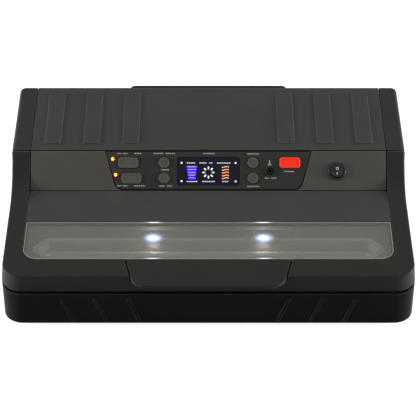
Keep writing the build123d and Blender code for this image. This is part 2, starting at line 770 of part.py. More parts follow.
def hinge_neck(side):
    """The steel neck that carries the lid round the front lip of the rear housing."""
    x0 = side * hinge_offset - neck_thickness / 2
    with BuildPart() as neck:
        disc(Plane.YZ, (pivot_y, pivot_z), hinge_barrel, (x0, x0 + neck_thickness))
        with BuildSketch(Plane.YZ.offset(x0)) as shape:
            with BuildLine():
                Polyline(
                    (pivot_y - neck_width / 2, pivot_z),
                    (pivot_y + neck_width / 2, pivot_z),
                    (pivot_y + neck_width / 2, pivot_z - neck_drop),
                    (pivot_y - neck_reach + 10, pivot_z - neck_drop),
                    (pivot_y - neck_reach + 10, pivot_z - neck_foot),
                    (pivot_y - neck_reach, pivot_z - neck_foot),
                    (pivot_y - neck_reach, pivot_z - neck_drop - neck_bar),
                    (pivot_y - neck_reach + 10, pivot_z - neck_drop + neck_bar),
                    (pivot_y - neck_width / 2, pivot_z - neck_drop + neck_bar),
                    close=True,
                )
            make_face()
            bend = (pivot_y + neck_width / 2, pivot_z - neck_drop, 0)
            fillet(shape.vertices().sort_by_distance(bend)[0], 4)
        extrude(shape.sketch, amount=neck_thickness)
        for dz in neck_screw_levels:
            disc(Plane.YZ, (pivot_y - neck_reach + 6, pivot_z - neck_foot + dz), neck_screw_radius + seat_gap,
                 (x0 - 1, x0 + neck_thickness + 1), Mode.SUBTRACT)
        disc(Plane.YZ, (pivot_y, pivot_z), hinge_pin_radius + running_gap, (x0 - 1, x0 + neck_thickness + 1),
             Mode.SUBTRACT)
    return neck


finish(hinge_neck(-1), "hinge_neck_left")
finish(hinge_neck(1), "hinge_neck_right")


with BuildPart() as neck_screws:
    for side in (-1, 1):
        inner = hinge_offset - neck_thickness / 2
        for dz in neck_screw_levels:
            place = (pivot_y - neck_reach + 6, pivot_z - neck_foot + dz)
            disc(Plane.YZ, place, neck_screw_radius, on_side(side, inner, inner + 7.5))
            disc(Plane.YZ, place, 2.1, on_side(side, inner - 1.2, inner))
finish(neck_screws, "neck_screws")


def hinge_bracket(side):
    """The folded steel bracket on the base whose two ears hold the hinge pin."""
    with BuildPart() as bracket:
        inner = neck_thickness / 2 + ear_gap
        for ear_side in (-1, 1):
            ear_x = side * hinge_offset + min(ear_side * inner, ear_side * (inner + ear_thickness))
            with BuildSketch(Plane.YZ.offset(ear_x)) as ear:
                with Locations((pivot_y, pivot_z)):
                    Circle(hinge_barrel)
                with Locations((pivot_y + 2.0, pivot_z - ear_depth / 2)):
                    Rectangle(2 * hinge_barrel + 4, ear_depth)
                with Locations((pivot_y + hinge_barrel + 2, pivot_z)):
                    Rectangle(4.2, 8, mode=Mode.SUBTRACT)
                with Locations((pivot_y, pivot_z)):
                    Circle(hinge_pin_radius + seat_gap, mode=Mode.SUBTRACT)
            extrude(ear.sketch, amount=ear_thickness)
        bracket_x = span(side * hinge_offset, inner + ear_thickness)
        back = pivot_y + hinge_barrel + 4
        block(Plane.XY, bracket_x, (back - ear_thickness, back), (pivot_z - ear_depth, pivot_z - 8))
        foot = pivot_z - ear_depth
        block(Plane.XY, bracket_x, (pivot_y - hinge_barrel, back), (foot, foot + 2))
    return bracket


finish(hinge_bracket(-1), "hinge_bracket_left")
finish(hinge_bracket(1), "hinge_bracket_right")

# ---------------------------------------------------------------- console
console_front = lid_length + 0.5             # clear of the lid panel's rear edge
inset_top = console_length - 0.6


def inset_outline(plane, grow):
    """Outline of the glossy control inset, narrower towards the lid."""
    lean = (inset_top_half - inset_foot_half) / (inset_top - inset_foot)
    foot_half = inset_foot_half + grow
    top_half = inset_top_half + grow
    with BuildSketch(plane) as face:
        with BuildLine():
            Polyline(
                (-foot_half, inset_foot - grow),
                (foot_half, inset_foot - grow),
                (top_half, inset_top + grow),
                (-top_half, inset_top + grow),
                close=True,
            )
        make_face()
        fillet(face.vertices().group_by(Axis.Y)[0], inset_corner)
    return face.sketch


def key_outline(plane, key, grow):
    """Plan of one key at its place on the console."""
    with BuildSketch(plane) as face:
        with Locations(key["place"]):
            if key["round"]:
                Circle(round_key_radius + grow)
            else:
                RectangleRounded(key["length"] + 2 * grow, key_height + 2 * grow, max(key_corner + grow, 1.0))
    return face.sketch


keys = {
    "bag_key_upper": {"place": (-81.7, upper_row), "round": False, "length": bag_key_length},
    "bag_key_lower": {"place": (-78.5, lower_row), "round": False, "length": bag_key_length},
    "mode_key_upper_left": {"place": (-round_key_offset, upper_row), "round": True},
    "mode_key_lower_left": {"place": (-round_key_offset, lower_row), "round": True},
    "mode_key_upper_right": {"place": (round_key_offset, upper_row), "round": True},
    "mode_key_lower_right": {"place": (round_key_offset, lower_row), "round": True},
    "start_key": {"place": (83.1, upper_row), "round": False, "length": start_key_length},
}
led_places = [(-97.7, upper_row + 3.6), (-94.7, lower_row + 3.5)]
board_posts = [(-60.0, 7.0), (-60.0, 33.0), (99.5, 8.0), (99.5, 33.0)]
port_place = (port_offset, port_height)
switch_place = (switch_offset, port_height)


def screen_outline(plane, grow):
    with BuildSketch(plane) as face:
        with Locations((0, screen_middle)):
            RectangleRounded(screen_length + 2 * grow, screen_height + 2 * grow, 1.5 + max(grow, -1))
    return face.sketch


with BuildPart() as console_housing:
    foot_y = front + console_front * tilt_cos
    foot_z = lid_edge_height + console_front * tilt_sin
    deck_y = front + console_front * tilt_cos + deck_depth * tilt_sin
    deck_z = lid_edge_height + console_front * tilt_sin - deck_depth * tilt_cos
    face_foot = meet((foot_y, foot_z), 90 + lid_tilt, (bend_y, bend_z), console_tilt)
    back_z = lid_edge_height + (seam_y - front) * tilt_sin / tilt_cos - deck_depth / tilt_cos
    outline = [face_foot, (seam_y, seam_z), (seam_y, back_z), (deck_y, deck_z)]
    extrude(side_face(Plane.YZ.offset(-console_half), outline), amount=2 * console_half)
    slope = radians(console_tilt)
    under = (bend_y + face_wall * sin(slope), bend_z - face_wall * cos(slope))
    inner_foot = meet((foot_y + wall, foot_z), 90 + lid_tilt, under, console_tilt)
    inner_top = meet((seam_y + 1, 0), 90, under, console_tilt)
    inner_deck = meet((foot_y + wall, foot_z), 90 + lid_tilt, (deck_y, deck_z - 1), lid_tilt)
    hollow = [inner_foot, inner_top, (seam_y + 1, back_z - 1), inner_deck]
    extrude(side_face(Plane.YZ.offset(wall - console_half), hollow), amount=2 * (console_half - wall),
            mode=Mode.SUBTRACT)
    # flange that the rear cover overlaps
    block(Plane.XY, (wall - console_half, console_half - wall), (seam_y - 1.2, seam_y + 9),
          (seam_z - flange_drop - flange_thickness, seam_z - flange_drop))
    for place in board_posts:
        disc(console_plane, place, 2.5, (-board_depth, -face_wall + 0.5))
    # the inset's seat, with a gutter round it
    gutter_floor = console_plane.offset(-inset_sink - inset_gutter)
    extrude(inset_outline(gutter_floor, inset_gap), amount=5, mode=Mode.SUBTRACT)
    extrude(inset_outline(gutter_floor, -inset_gap), amount=inset_gutter)
    extrude(screen_outline(console_plane.offset(-face_wall - 1), -screen_lip), amount=8, mode=Mode.SUBTRACT)
    for key in keys.values():
        extrude(key_outline(console_plane.offset(-face_wall - 1), key, key_gap), amount=8, mode=Mode.SUBTRACT)
    for place in led_places:
        disc(console_plane, place, led_radius + seat_gap, (-face_wall - 1, 5), Mode.SUBTRACT)
    for place in board_posts:
        disc(console_plane, place, 1.0, (-board_depth - 1, -face_wall), Mode.SUBTRACT)
    disc(console_plane, port_place, port_radius + seat_gap, (-face_wall - 1, 5), Mode.SUBTRACT)
    disc(console_plane, switch_place, switch_body_radius + seat_gap, (-face_wall - 1, 5), Mode.SUBTRACT)
finish(console_housing, "console_housing")

inset_face = inset_thickness - inset_sink
with BuildPart() as control_inset:
    extrude(inset_outline(console_plane.offset(-inset_sink), 0), amount=inset_thickness)
    under_inset = console_plane.offset(-inset_sink - 1)
    extrude(screen_outline(under_inset, screen_gap), amount=8, mode=Mode.SUBTRACT)
    for key in keys.values():
        extrude(key_outline(under_inset, key, key_gap), amount=8, mode=Mode.SUBTRACT)
    for place in led_places:
        disc(console_plane, place, led_radius + seat_gap, (-face_wall, 5), Mode.SUBTRACT)
    disc(console_plane, port_place, port_radius + seat_gap, (-face_wall, 5), Mode.SUBTRACT)
finish(control_inset, "control_inset")

with BuildPart() as display_window:
    extrude(screen_outline(console_plane.offset(-inset_sink), 0), amount=inset_thickness + 0.1)
finish(display_window, "display_window")

with BuildPart() as display_module:
    module_back = -face_wall - module_thickness
    with BuildSketch(console_plane.offset(module_back)) as module:
        with Locations((0, screen_middle)):
            Rectangle(screen_length + 4, screen_height + 1)
    extrude(module.sketch, amount=module_thickness)
    extrude(screen_outline(console_plane.offset(-face_wall), -screen_lip - 0.3),
            amount=face_wall - inset_sink - 0.1)
    for dx in (-20.0, 20.0):
        block(console_plane, span(dx, 5), span(screen_middle, 3), (-board_depth, module_back))
finish(display_module, "display_module")

with BuildPart() as control_board:
    board_x = (-inset_foot_half - 8, inset_top_half)
    board_back = -board_depth - board_thickness
    block(console_plane, board_x, (4.0, console_length - 4.0), (board_back, -board_depth))
    for key in keys.values():
        with BuildSketch(console_plane.offset(-board_depth)) as tact:
            with Locations(key["place"]):
                Rectangle(6, 6)
        extrude(tact.sketch, amount=1.4)
    block(console_plane, (-20, 16), (12, 26), (board_back - 3, board_back))
    block(console_plane, (30, 44), (14, 24), (board_back - 5, board_back))
    disc(console_plane, port_place, port_radius + 1.4, (-board_depth - 8, 0), Mode.SUBTRACT)
    for place in board_posts:
        disc(console_plane, place, 1.2, (-board_depth - 8, 0), Mode.SUBTRACT)
finish(control_board, "control_board")

with BuildPart() as board_screws:
    for place in board_posts:
        disc(console_plane, place, 0.98, (board_back, -face_wall - 0.6))
        disc(console_plane, place, 2.0, (board_back - 1.2, board_back))
finish(board_screws, "board_screws")

with BuildPart() as indicator_leds:
    for place in led_places:
        disc(console_plane, place, led_radius, (-board_depth, inset_face + 0.4))
finish(indicator_leds, "indicator_leds")

for name, key in keys.items():
    with BuildPart() as cap:
        flange_top = -face_wall - 0.2
        extrude(key_outline(console_plane.offset(flange_top - 0.1), key, 0),
                amount=inset_face + key_proud - flange_top + 0.1)
        crown = cap.faces().sort_by(Axis((0, bend_y, bend_z), console_plane.z_dir))[-1]
        fillet(crown.edges(), key_edge_round)
        extrude(key_outline(console_plane.offset(inset_face + key_proud - key_dish), key, -key_dish_rim),
                amount=1, mode=Mode.SUBTRACT)
        extrude(key_outline(console_plane.offset(flange_top - key_flange_thickness), key, key_flange),
                amount=key_flange_thickness)
        disc(console_plane, key["place"], 1.5, (-board_depth + 1.4 + key_travel + 0.15, flange_top - 0.5))
    finish(cap, name)

with BuildPart() as accessory_port:
    disc(console_plane, port_place, port_radius, (-face_wall - 1.5, inset_face + 1.2))
    disc(console_plane, port_place, port_radius + 1.0, (inset_face, inset_face + 1.2))
    disc(console_plane, port_place, port_radius + 0.8, (-face_wall - 2.0, -face_wall))
    disc(console_plane, port_place, port_radius - 0.8, (inset_face + 1.2 - port_length, -face_wall))
    disc(console_plane, port_place, port_bore, (-30, 5), Mode.SUBTRACT)
finish(accessory_port, "accessory_port")

rocker_centre = console_plane.from_local_coords(Vector(switch_offset, port_height, -rocker_pivot_depth))
with BuildPart() as power_switch:
    disc(console_plane, switch_place, switch_radius, (0, 1.4))
    disc(console_plane, switch_place, switch_body_radius, (-switch_depth, 1.4))
    disc(console_plane, switch_place, rocker_well, (-6.5, 5), Mode.SUBTRACT)
    fillet(power_switch.edges().filter_by(GeomType.CIRCLE).sort_by(
        Axis((0, bend_y, bend_z), console_plane.z_dir))[-1], 0.4)
    disc(Plane(origin=rocker_centre, x_dir=console_plane.y_dir, z_dir=(1, 0, 0)), (0, 0), rocker_pin_radius,
         span(0, rocker_well + 0.4))
    for dx in (-4.0, 4.0):
        block(console_plane, span(switch_offset + dx, 0.4), span(port_height, 3),
              (-switch_depth - 6, -switch_depth))
finish(power_switch, "power_switch")

rocker_up = radians(console_tilt + 90 - rocker_swing / 2)
rocker_plane = Plane(origin=rocker_centre, x_dir=(1, 0, 0), z_dir=(0, cos(rocker_up), sin(rocker_up)))
rocker_side = Plane(origin=rocker_centre, x_dir=rocker_plane.y_dir, z_dir=(1, 0, 0))
with BuildPart() as power_rocker:
    disc(rocker_plane, (0, 0), rocker_radius, (-2.6, 4.4))
    # two faces that meet in a shallow valley over the pivot
    for way in (-1, 1):
        valley = [(0, 2.9), (way * 12, 2.9 + 12 * 0.14), (way * 12, 9), (0, 9)]
        extrude(side_face(rocker_side.offset(-10), valley), amount=20, mode=Mode.SUBTRACT)
    disc(rocker_side, (0, 0), rocker_pin_radius + running_gap, (-10, 10), Mode.SUBTRACT)
finish(power_rocker, "power_rocker")

# ---------------------------------------------------------------- rear housing and cover
cheek_front = (seam_y + seam_gap, seam_z + seam_gap * sin(radians(cover_tilt)) - bevel_drop)
cover_start = meet((seam_y, seam_z), cover_tilt, (seam_y + seam_gap + bevel_run, 0), 90)
cover_end = meet((seam_y, seam_z), cover_tilt, (rear, 0), 90)
base_line = (front, lid_edge_height - base_edge / tilt_cos)
housing_foot = meet(base_line, lid_tilt, cheek_front, 90 - end_tilt)
flange_z = cover_end[1] - cover_flange
trapezoid_z = (housing_foot[1], cover_end[1])
trapezoid_half = body_width / 2 + housing_flare


def housing_profile(x, inset):
    """Side outline of the rear housing, pulled in by inset except at its open foot."""
    tilt = radians(cover_tilt)
    band_tilt = degrees(atan2(cover_start[1] - cheek_front[1], cover_start[0] - cheek_front[0]))
    band = radians(band_tilt)
    top_point = (seam_y + inset * sin(tilt), seam_z - inset * cos(tilt))
    band_point = (cheek_front[0] + inset * sin(band), cheek_front[1] - inset * cos(band))
    front_point = (cheek_front[0] + inset, cheek_front[1])
    below = base_line[1] - (1 if inset > 0 else 0)
    points = [
        meet(band_point, band_tilt, front_point, 90 - end_tilt),
        meet(band_point, band_tilt, top_point, cover_tilt),
        meet(top_point, cover_tilt, (rear - inset, 0), 90),
        meet((front, below), lid_tilt, (rear - inset, 0), 90),
        meet((front, below), lid_tilt, front_point, 90 - end_tilt),
    ]
    with BuildSketch(Plane.YZ.offset(x)) as face:
        with BuildLine():
            Polyline(*points, close=True)
        make_face()
    return face.sketch


carry_top = cover_end[1] - carry_drop
carry_z = carry_top - carry_height / 2
carry_screw_x = carry_half - carry_post / 2

with BuildPart() as housing_hollow:
    extrude(housing_profile(-base_half, wall), amount=2 * base_half)
    hollow_half = body_width / 2 - housing_side
    block(Plane.XY, (-hollow_half, hollow_half), (front, rear), (0, beyond), Mode.INTERSECT)

with BuildPart() as rear_housing:
    lean = tan(radians(draft))
    low_half = trapezoid_half + 10 * lean
    high_half = trapezoid_half - (cover_end[1] + 10 - trapezoid_z[0]) * lean
    section = [
        (-low_half, trapezoid_z[0] - 10),
        (low_half, trapezoid_z[0] - 10),
        (high_half, cover_end[1] + 10),
        (-high_half, cover_end[1] + 10),
    ]
    extrude(side_face(Plane.XZ.offset(-rear), section), amount=rear - seam_y + 30)
    corners = rear_housing.edges().filter_by(lambda e: abs(e.center().Y - rear) < 0.01 and e.length < 150)
    fillet(corners, rear_corner)
    extrude(housing_profile(-base_half - 5, 0), amount=2 * base_half + 10, mode=Mode.INTERSECT)
    # one round from cheek to cheek, along the sides and the rear of the top
    shoulders = rear_housing.edges().filter_by(
        lambda e: e.center().Z > seam_z - 1 and (abs(e.center().X) > cover_half or e.center().Y > rear - 1))
    fillet(shoulders, cheek_round)
    add(housing_hollow.part, mode=Mode.SUBTRACT)
    # opening for the cover, with its rear flange, and the open middle in front
    opening_x = span(0, cover_half + cover_gap)
    block(Plane.XY, opening_x, (front, rear - wall - 0.5), (cover_start[1] - 5, beyond), Mode.SUBTRACT)
    block(Plane.XY, opening_x, (rear - wall - 1, rear + 1), (flange_z - cover_gap, beyond), Mode.SUBTRACT)
    block(Plane.XY, opening_x, (front, seam_y + seam_gap + wall + 1), (foot_height, beyond), Mode.SUBTRACT)
    # slots through which the hinge necks pass
    for side in (-1, 1):
        disc(Plane.XZ.offset(-rear - 1), (side * carry_screw_x, carry_z), screw_radius + seat_gap, (0, wall + 2),
             Mode.SUBTRACT)
        block(Plane.XY, span(side * hinge_offset, neck_thickness / 2 + 1),
              (pivot_y - neck_reach + 6, pivot_y - 3), (pivot_z - neck_drop - 2, pivot_z + 0.5), Mode.SUBTRACT)
        # inner wall of the cheek and the ledge that carries the cover
        wall_x = on_side(side, cover_half + cover_gap, cover_half + cover_gap + 2)
        block(cover_plane, wall_x, (seam_gap + 3.0, rear - seam_y - 4), (-12, -2))
        block(cover_plane, on_side(side, cover_half - 6, cover_half + 2),
              (seam_gap + bevel_run + 4, rear - seam_y - 8), (-cover_thickness - 2, -cover_thickness))
finish(rear_housing, "rear_housing")

with BuildPart() as rear_cover:
    extrude(housing_profile(-cover_half, 0), amount=2 * cover_half)
    extrude(housing_profile(-cover_half - 1, cover_thickness), amount=2 * cover_half + 2, mode=Mode.SUBTRACT)
    cut_x = span(0, cover_half + 1)
    block(Plane.XY, cut_x, (front, rear - cover_thickness - 0.01), (0, cover_start[1] - 5), Mode.SUBTRACT)
    block(Plane.XY, cut_x, (rear - cover_thickness - 1, rear + 1), (0, flange_z), Mode.SUBTRACT)
    rear_edge = rear_cover.edges().sort_by_distance((0, rear, cover_end[1]))[0]
    fillet(rear_edge, cheek_round)
    for side in (-1, 1):
        for step in range(3):
            band_x = side * (cover_half - band_margin - step * band_pitch)
            with BuildSketch(cover_plane) as band:
                with Locations((band_x, (band_start + band_end) / 2)):
                    RectangleRounded(band_width, band_end - band_start, band_corner)
            extrude(band.sketch, amount=band_raise)
    crests = rear_cover.faces().filter_by(
        lambda f: abs(cover_plane.to_local_coords(f.center()).Z - band_raise) < 0.01)
    fillet(ShapeList([e for f in crests for e in f.edges()]), band_round)
finish(rear_cover, "rear_cover")

# ---------------------------------------------------------------- carry handle
with BuildPart() as carry_handle:
    with BuildSketch(Plane.XY.offset(carry_top - carry_height)) as loop:
        with Locations((0, rear + carry_reach / 2)):
            Rectangle(2 * carry_half, carry_reach)
        fillet(loop.vertices().group_by(Axis.Y)[-1], carry_bar * 0.6)
        with Locations((0, rear + (carry_reach - carry_bar) / 2 - 1)):
            Rectangle(2 * (carry_half - carry_post), carry_reach - carry_bar + 2, mode=Mode.SUBTRACT)
    extrude(loop.sketch, amount=carry_height)
    grips = carry_handle.edges().filter_by(lambda e: abs(e.center().X) < 1 and e.center().Y > rear + 1)
    fillet(grips, edge_round)
    for side in (-1, 1):
        disc(Plane.XZ.offset(-rear - carry_post), (side * carry_screw_x, carry_z), screw_radius + seat_gap,
             (0, carry_post + 1), Mode.SUBTRACT)
finish(carry_handle, "carry_handle")

with BuildPart() as carry_screws:
    for side in (-1, 1):
        place = (side * carry_screw_x, carry_z)
        disc(Plane.XZ.offset(-rear - carry_post + 1), place, screw_radius, (0, carry_post - 1 + wall))
        disc(Plane.XZ.offset(wall - rear), place, screw_head_radius, (0, screw_head_height))
finish(carry_screws, "carry_screws")

# ---------------------------------------------------------------- pumps, hoses and valve
pump_y = seam_y + pump_behind
pump_foot = floor_top + mount_height
pump_seat = pump_foot + pump_plate
head_middle = pump_offset - motor_length / 2 - 1
port_end = console_plane.from_local_coords(Vector(port_offset, port_height, inset_face + 1.2 - port_length))
port_turn = port_end - console_plane.z_dir * 16.0
nipple_y = pump_y - pump_width / 2 - nipple_length


def vacuum_pump(side):
    """Motor and twin-cylinder pump head on one sheet-metal plate."""
    with BuildPart() as pump:
        ends = (side * (head_middle - pump_head_length / 2), side * (head_middle + pump_head_length / 2))
        head_x = sorted(ends)
        motor_x = sorted((ends[1], ends[1] + side * motor_length))
        plate_x = sorted((ends[0], ends[1] + side * motor_length))
        pump_top = pump_seat + pump_height
        block(Plane.XY, plate_x, span(pump_y, pump_width / 2), (pump_foot, pump_seat))
        block(Plane.XY, head_x, span(pump_y, pump_width / 2), (pump_seat, pump_top))
        rod(motor_x, (pump_y, pump_seat + motor_radius + 1), motor_radius)
        rod((motor_x[0] - 3, motor_x[1] + 3), (pump_y, pump_seat + motor_radius + 1), motor_radius * 0.35)
        block(Plane.XY, motor_x, span(pump_y, 9), (pump_seat, pump_seat + 4))
        for dy in (-11.0, 11.0):
            disc(Plane.XY, (side * head_middle, pump_y + dy), 9.5, (pump_top, pump_top + 6))
        # suction nipples, with the accessory's own on the right
        levels = [(hose_offset, hose_level)]
        if side > 0:
            levels.append((port_offset, port_turn.Z))
        pump_front = Plane.XZ.offset(-pump_y + pump_width / 2)
        for nipple_x, level in levels:
            disc(pump_front, (side * nipple_x, level), hose_radius, (0, nipple_length))
            disc(pump_front, (side * nipple_x, level), hose_bore, (-8, nipple_length + 1), Mode.SUBTRACT)
    return pump


finish(vacuum_pump(-1), "vacuum_pump_left")
finish(vacuum_pump(1), "vacuum_pump_right")

with BuildPart() as pump_mounts:
    for place in mount_places:
        disc(Plane.XY, place, mount_radius, (floor_top, floor_top + mount_height))
finish(pump_mounts, "pump_mounts")


def hose(points, bend):
    """A rubber hose along straight runs joined by arcs."""
    with BuildPart() as tube:
        with BuildLine() as route:
            FilletPolyline(*points, radius=bend)
        with BuildSketch(Plane(origin=route.line @ 0, z_dir=route.line % 0)) as bore:
            Circle(hose_radius)
            Circle(hose_bore, mode=Mode.SUBTRACT)
        sweep(bore.sketch, path=route.line)
    return tube.part


spigot = lid_plane.from_local_coords(Vector(hose_offset, chamber_middle, -spigot_depth))
fall = (spigot.Z - hose_level) / tilt_cos
spigot_turn = spigot - lid_plane.z_dir * fall
with BuildPart() as vacuum_hoses:
    for side in (-1, 1):
        add(hose([
            (side * spigot.X, spigot.Y, spigot.Z),
            (side * spigot.X, spigot_turn.Y, hose_level),
            (side * spigot.X, nipple_y, hose_level),
        ], 8.0))
    add(hose([
        (port_end.X, port_end.Y, port_end.Z),
        (port_turn.X, port_turn.Y, port_turn.Z),
        (port_turn.X, nipple_y, port_turn.Z),
    ], 20.0))
finish(vacuum_hoses, "vacuum_hoses")

with BuildPart() as release_valve:
    place = (0, chamber_middle)
    valve_foot = -trough_bottom - valve_height
    block(lid_plane, span(0, valve_size / 2), span(chamber_middle, 8), (valve_foot, -trough_bottom))
    disc(lid_plane, place, hose_bore - 0.5, (-trough_bottom - 5, -trough_bottom + 1), Mode.SUBTRACT)
    disc(lid_plane, place, 6.0, (valve_foot - 3, valve_foot))
finish(release_valve, "release_valve")

# ---------------------------------------------------------------- supply and cooling
winding_end = rear - wall - fan_thickness - transformer_clear
winding_y = (winding_end - transformer_width - 2 * winding_bulge, winding_end)
transformer_y = (winding_y[0] + winding_bulge, winding_y[1] - winding_bulge)
transformer_middle = (winding_y[0] + winding_y[1]) / 2
with BuildPart() as transformer:
    block(Plane.XY, span(0, transformer_length / 2), transformer_y,
          (floor_top + 4, floor_top + transformer_height - 4))
    block(Plane.XY, span(0, transformer_length / 2 - 10), winding_y,
          (floor_top + 9, floor_top + transformer_height - 9))
    block(Plane.XY, span(0, transformer_length / 2 + 8), span(transformer_middle, 10),
          (floor_top, floor_top + 4))
finish(transformer, "transformer")

supply_y = front + supply_behind
with BuildPart() as supply_board:
    part_z = supply_level + board_thickness
    block(Plane.XY, span(0, supply_length / 2), span(supply_y, supply_width / 2), (supply_level, part_z))
    for dx in capacitor_places:
        disc(Plane.XY, (dx, supply_y + 8), capacitor_radius, (part_z, part_z + capacitor_height))
    block(Plane.XY, span(relay_middle, relay_length / 2), span(supply_y, 12), (part_z, part_z + relay_height))
    block(Plane.XY, span(-28, 10), span(supply_y - 14, 6), (part_z, part_z + 12))
    for place in supply_posts:
        disc(Plane.XY, place, 1.3, (0, beyond), Mode.SUBTRACT)
finish(supply_board, "supply_board")

fan_plane = Plane(origin=(0, rear - wall - fan_thickness, fan_height), x_dir=(1, 0, 0), z_dir=(0, 1, 0))
with BuildPart() as fan_frame:
    with BuildSketch(fan_plane) as frame:
        RectangleRounded(fan_size, fan_size, 3)
        Circle(fan_bore, mode=Mode.SUBTRACT)
    extrude(frame.sketch, amount=fan_thickness)
    disc(fan_plane, (0, 0), fan_hub, (0, 1.5))
    with BuildSketch(fan_plane) as struts:
        with PolarLocations(0, 3):
            with Locations((fan_bore / 2 + 1, 0)):
                Rectangle(fan_bore, 2.4)
    extrude(struts.sketch, amount=1.5)
    disc(fan_plane, (0, 0), fan_shaft, (0, fan_thickness - 1))
finish(fan_frame, "fan_frame")

with BuildPart() as fan_rotor:
    disc(fan_plane, (0, 0), fan_hub, (2, fan_thickness - 1))
    blade_pitch = radians(38)
    for turn in range(fan_blades):
        angle = radians(360 / fan_blades * turn)
        ray = fan_plane.x_dir * cos(angle) + fan_plane.y_dir * sin(angle)
        tangent = fan_plane.y_dir * cos(angle) - fan_plane.x_dir * sin(angle)
        face = fan_plane.z_dir * cos(blade_pitch) + tangent * sin(blade_pitch)
        middle = fan_plane.origin + fan_plane.z_dir * (fan_thickness / 2 + 0.5)
        blade = Plane(origin=middle, x_dir=ray, z_dir=face)
        block(blade, (fan_hub - 1, fan_bore - 0.8), (-4.2, 4.2), (-0.6, 0.6))
    disc(fan_plane, (0, 0), fan_shaft + running_gap, (1, fan_thickness), Mode.SUBTRACT)
finish(fan_rotor, "fan_rotor")

inlet_plane = Plane(origin=(inlet_offset, rear, inlet_height), x_dir=(-1, 0, 0), z_dir=(0, 1, 0))
with BuildPart() as power_inlet:
    cavity_x = inlet_cavity[0] / 2
    cavity_z = inlet_cavity[1] / 2
    block(inlet_plane, span(0, cavity_x + 5), span(0, cavity_z + 4), (0, 2))
    block(inlet_plane, span(0, cavity_x + 1.8), span(0, cavity_z + 1.8), (-inlet_depth - 0.5, 0))
    block(inlet_plane, span(0, cavity_x), span(0, cavity_z), (2 - inlet_depth, 3), Mode.SUBTRACT)
    for dx, dz in ((-7.0, -2.0), (0.0, 2.0), (7.0, -2.0)):
        block(inlet_plane, span(dx, 1), span(dz, 2), (-inlet_depth - 6, 2 - inlet_depth + inlet_pin_length))
finish(power_inlet, "power_inlet")
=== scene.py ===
# %% [markdown]
# # A table-top vacuum sealer
# The real thing is a wide black appliance of moulded ABS: a lid with a smoked window over a lit
# chamber, a sloping console with keys and a small display, and a grooved rear cover. The solids
# of the construction model are loaded first. They carry every true shape, so the work here is
# their finishes and the small things that are printed, lit or cut on them.

# %% Load the construction model
import bpy
import bmesh
from math import cos, pi, radians, sin
from mathutils import Matrix, Vector


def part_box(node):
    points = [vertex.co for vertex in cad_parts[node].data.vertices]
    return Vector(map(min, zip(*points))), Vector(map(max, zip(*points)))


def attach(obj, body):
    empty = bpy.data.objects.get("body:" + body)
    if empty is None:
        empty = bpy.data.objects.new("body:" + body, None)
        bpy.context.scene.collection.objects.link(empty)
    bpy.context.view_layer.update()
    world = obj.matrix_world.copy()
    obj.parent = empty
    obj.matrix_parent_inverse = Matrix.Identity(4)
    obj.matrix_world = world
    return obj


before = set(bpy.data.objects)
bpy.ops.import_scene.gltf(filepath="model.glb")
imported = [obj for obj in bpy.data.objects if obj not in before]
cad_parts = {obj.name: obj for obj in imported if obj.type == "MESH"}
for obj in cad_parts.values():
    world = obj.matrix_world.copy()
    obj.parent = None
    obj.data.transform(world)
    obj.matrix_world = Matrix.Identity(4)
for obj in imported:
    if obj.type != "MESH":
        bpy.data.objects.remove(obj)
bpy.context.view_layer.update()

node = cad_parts
MM = 0.001

# %% [markdown]
# ## Colours and nodes
# A colour picker shows sRGB, while Blender's shaders work on linear light, so one function turns
# a hex value into linear numbers. A second one adds a node, sets its values and links its inputs,
# which keeps each finish below down to a few readable lines.

# %% Two helpers for every finish
def linear(hex_colour):
    """A colour as a colour picker writes it, turned to linear light."""
    values = [int(hex_colour[i:i + 2], 16) / 255 for i in (1, 3, 5)]
    return tuple(v / 12.92 if v <= 0.04045 else ((v + 0.055) / 1.055) ** 2.4 for v in values) + (1.0,)


def add_node(tree, kind, settings=None, **inputs):
    """One shader node. An input may be a value or another node's output."""
    made = tree.nodes.new(kind)
    for name, value in (settings or {}).items():
        setattr(made, name, value)
    for name, value in inputs.items():
        socket = made.inputs[int(name[1:])] if name[0] == "i" and name[1:].isdigit() else (
            made.inputs[name.replace("_", " ")])
        if isinstance(value, bpy.types.NodeSocket):
            tree.links.new(value, socket)
        else:
            socket.default_value = value
    return made


def new_finish(name):
    """An empty material with its output, and the tree to build in."""
    material = bpy.data.materials.new(name)
    material.use_nodes = True
    material.node_tree.nodes.clear()
    return material, material.node_tree


def close_finish(material, tree, shader):
    output = add_node(tree, "ShaderNodeOutputMaterial")
    tree.links.new(shader.outputs[0], output.inputs["Surface"])
    return material
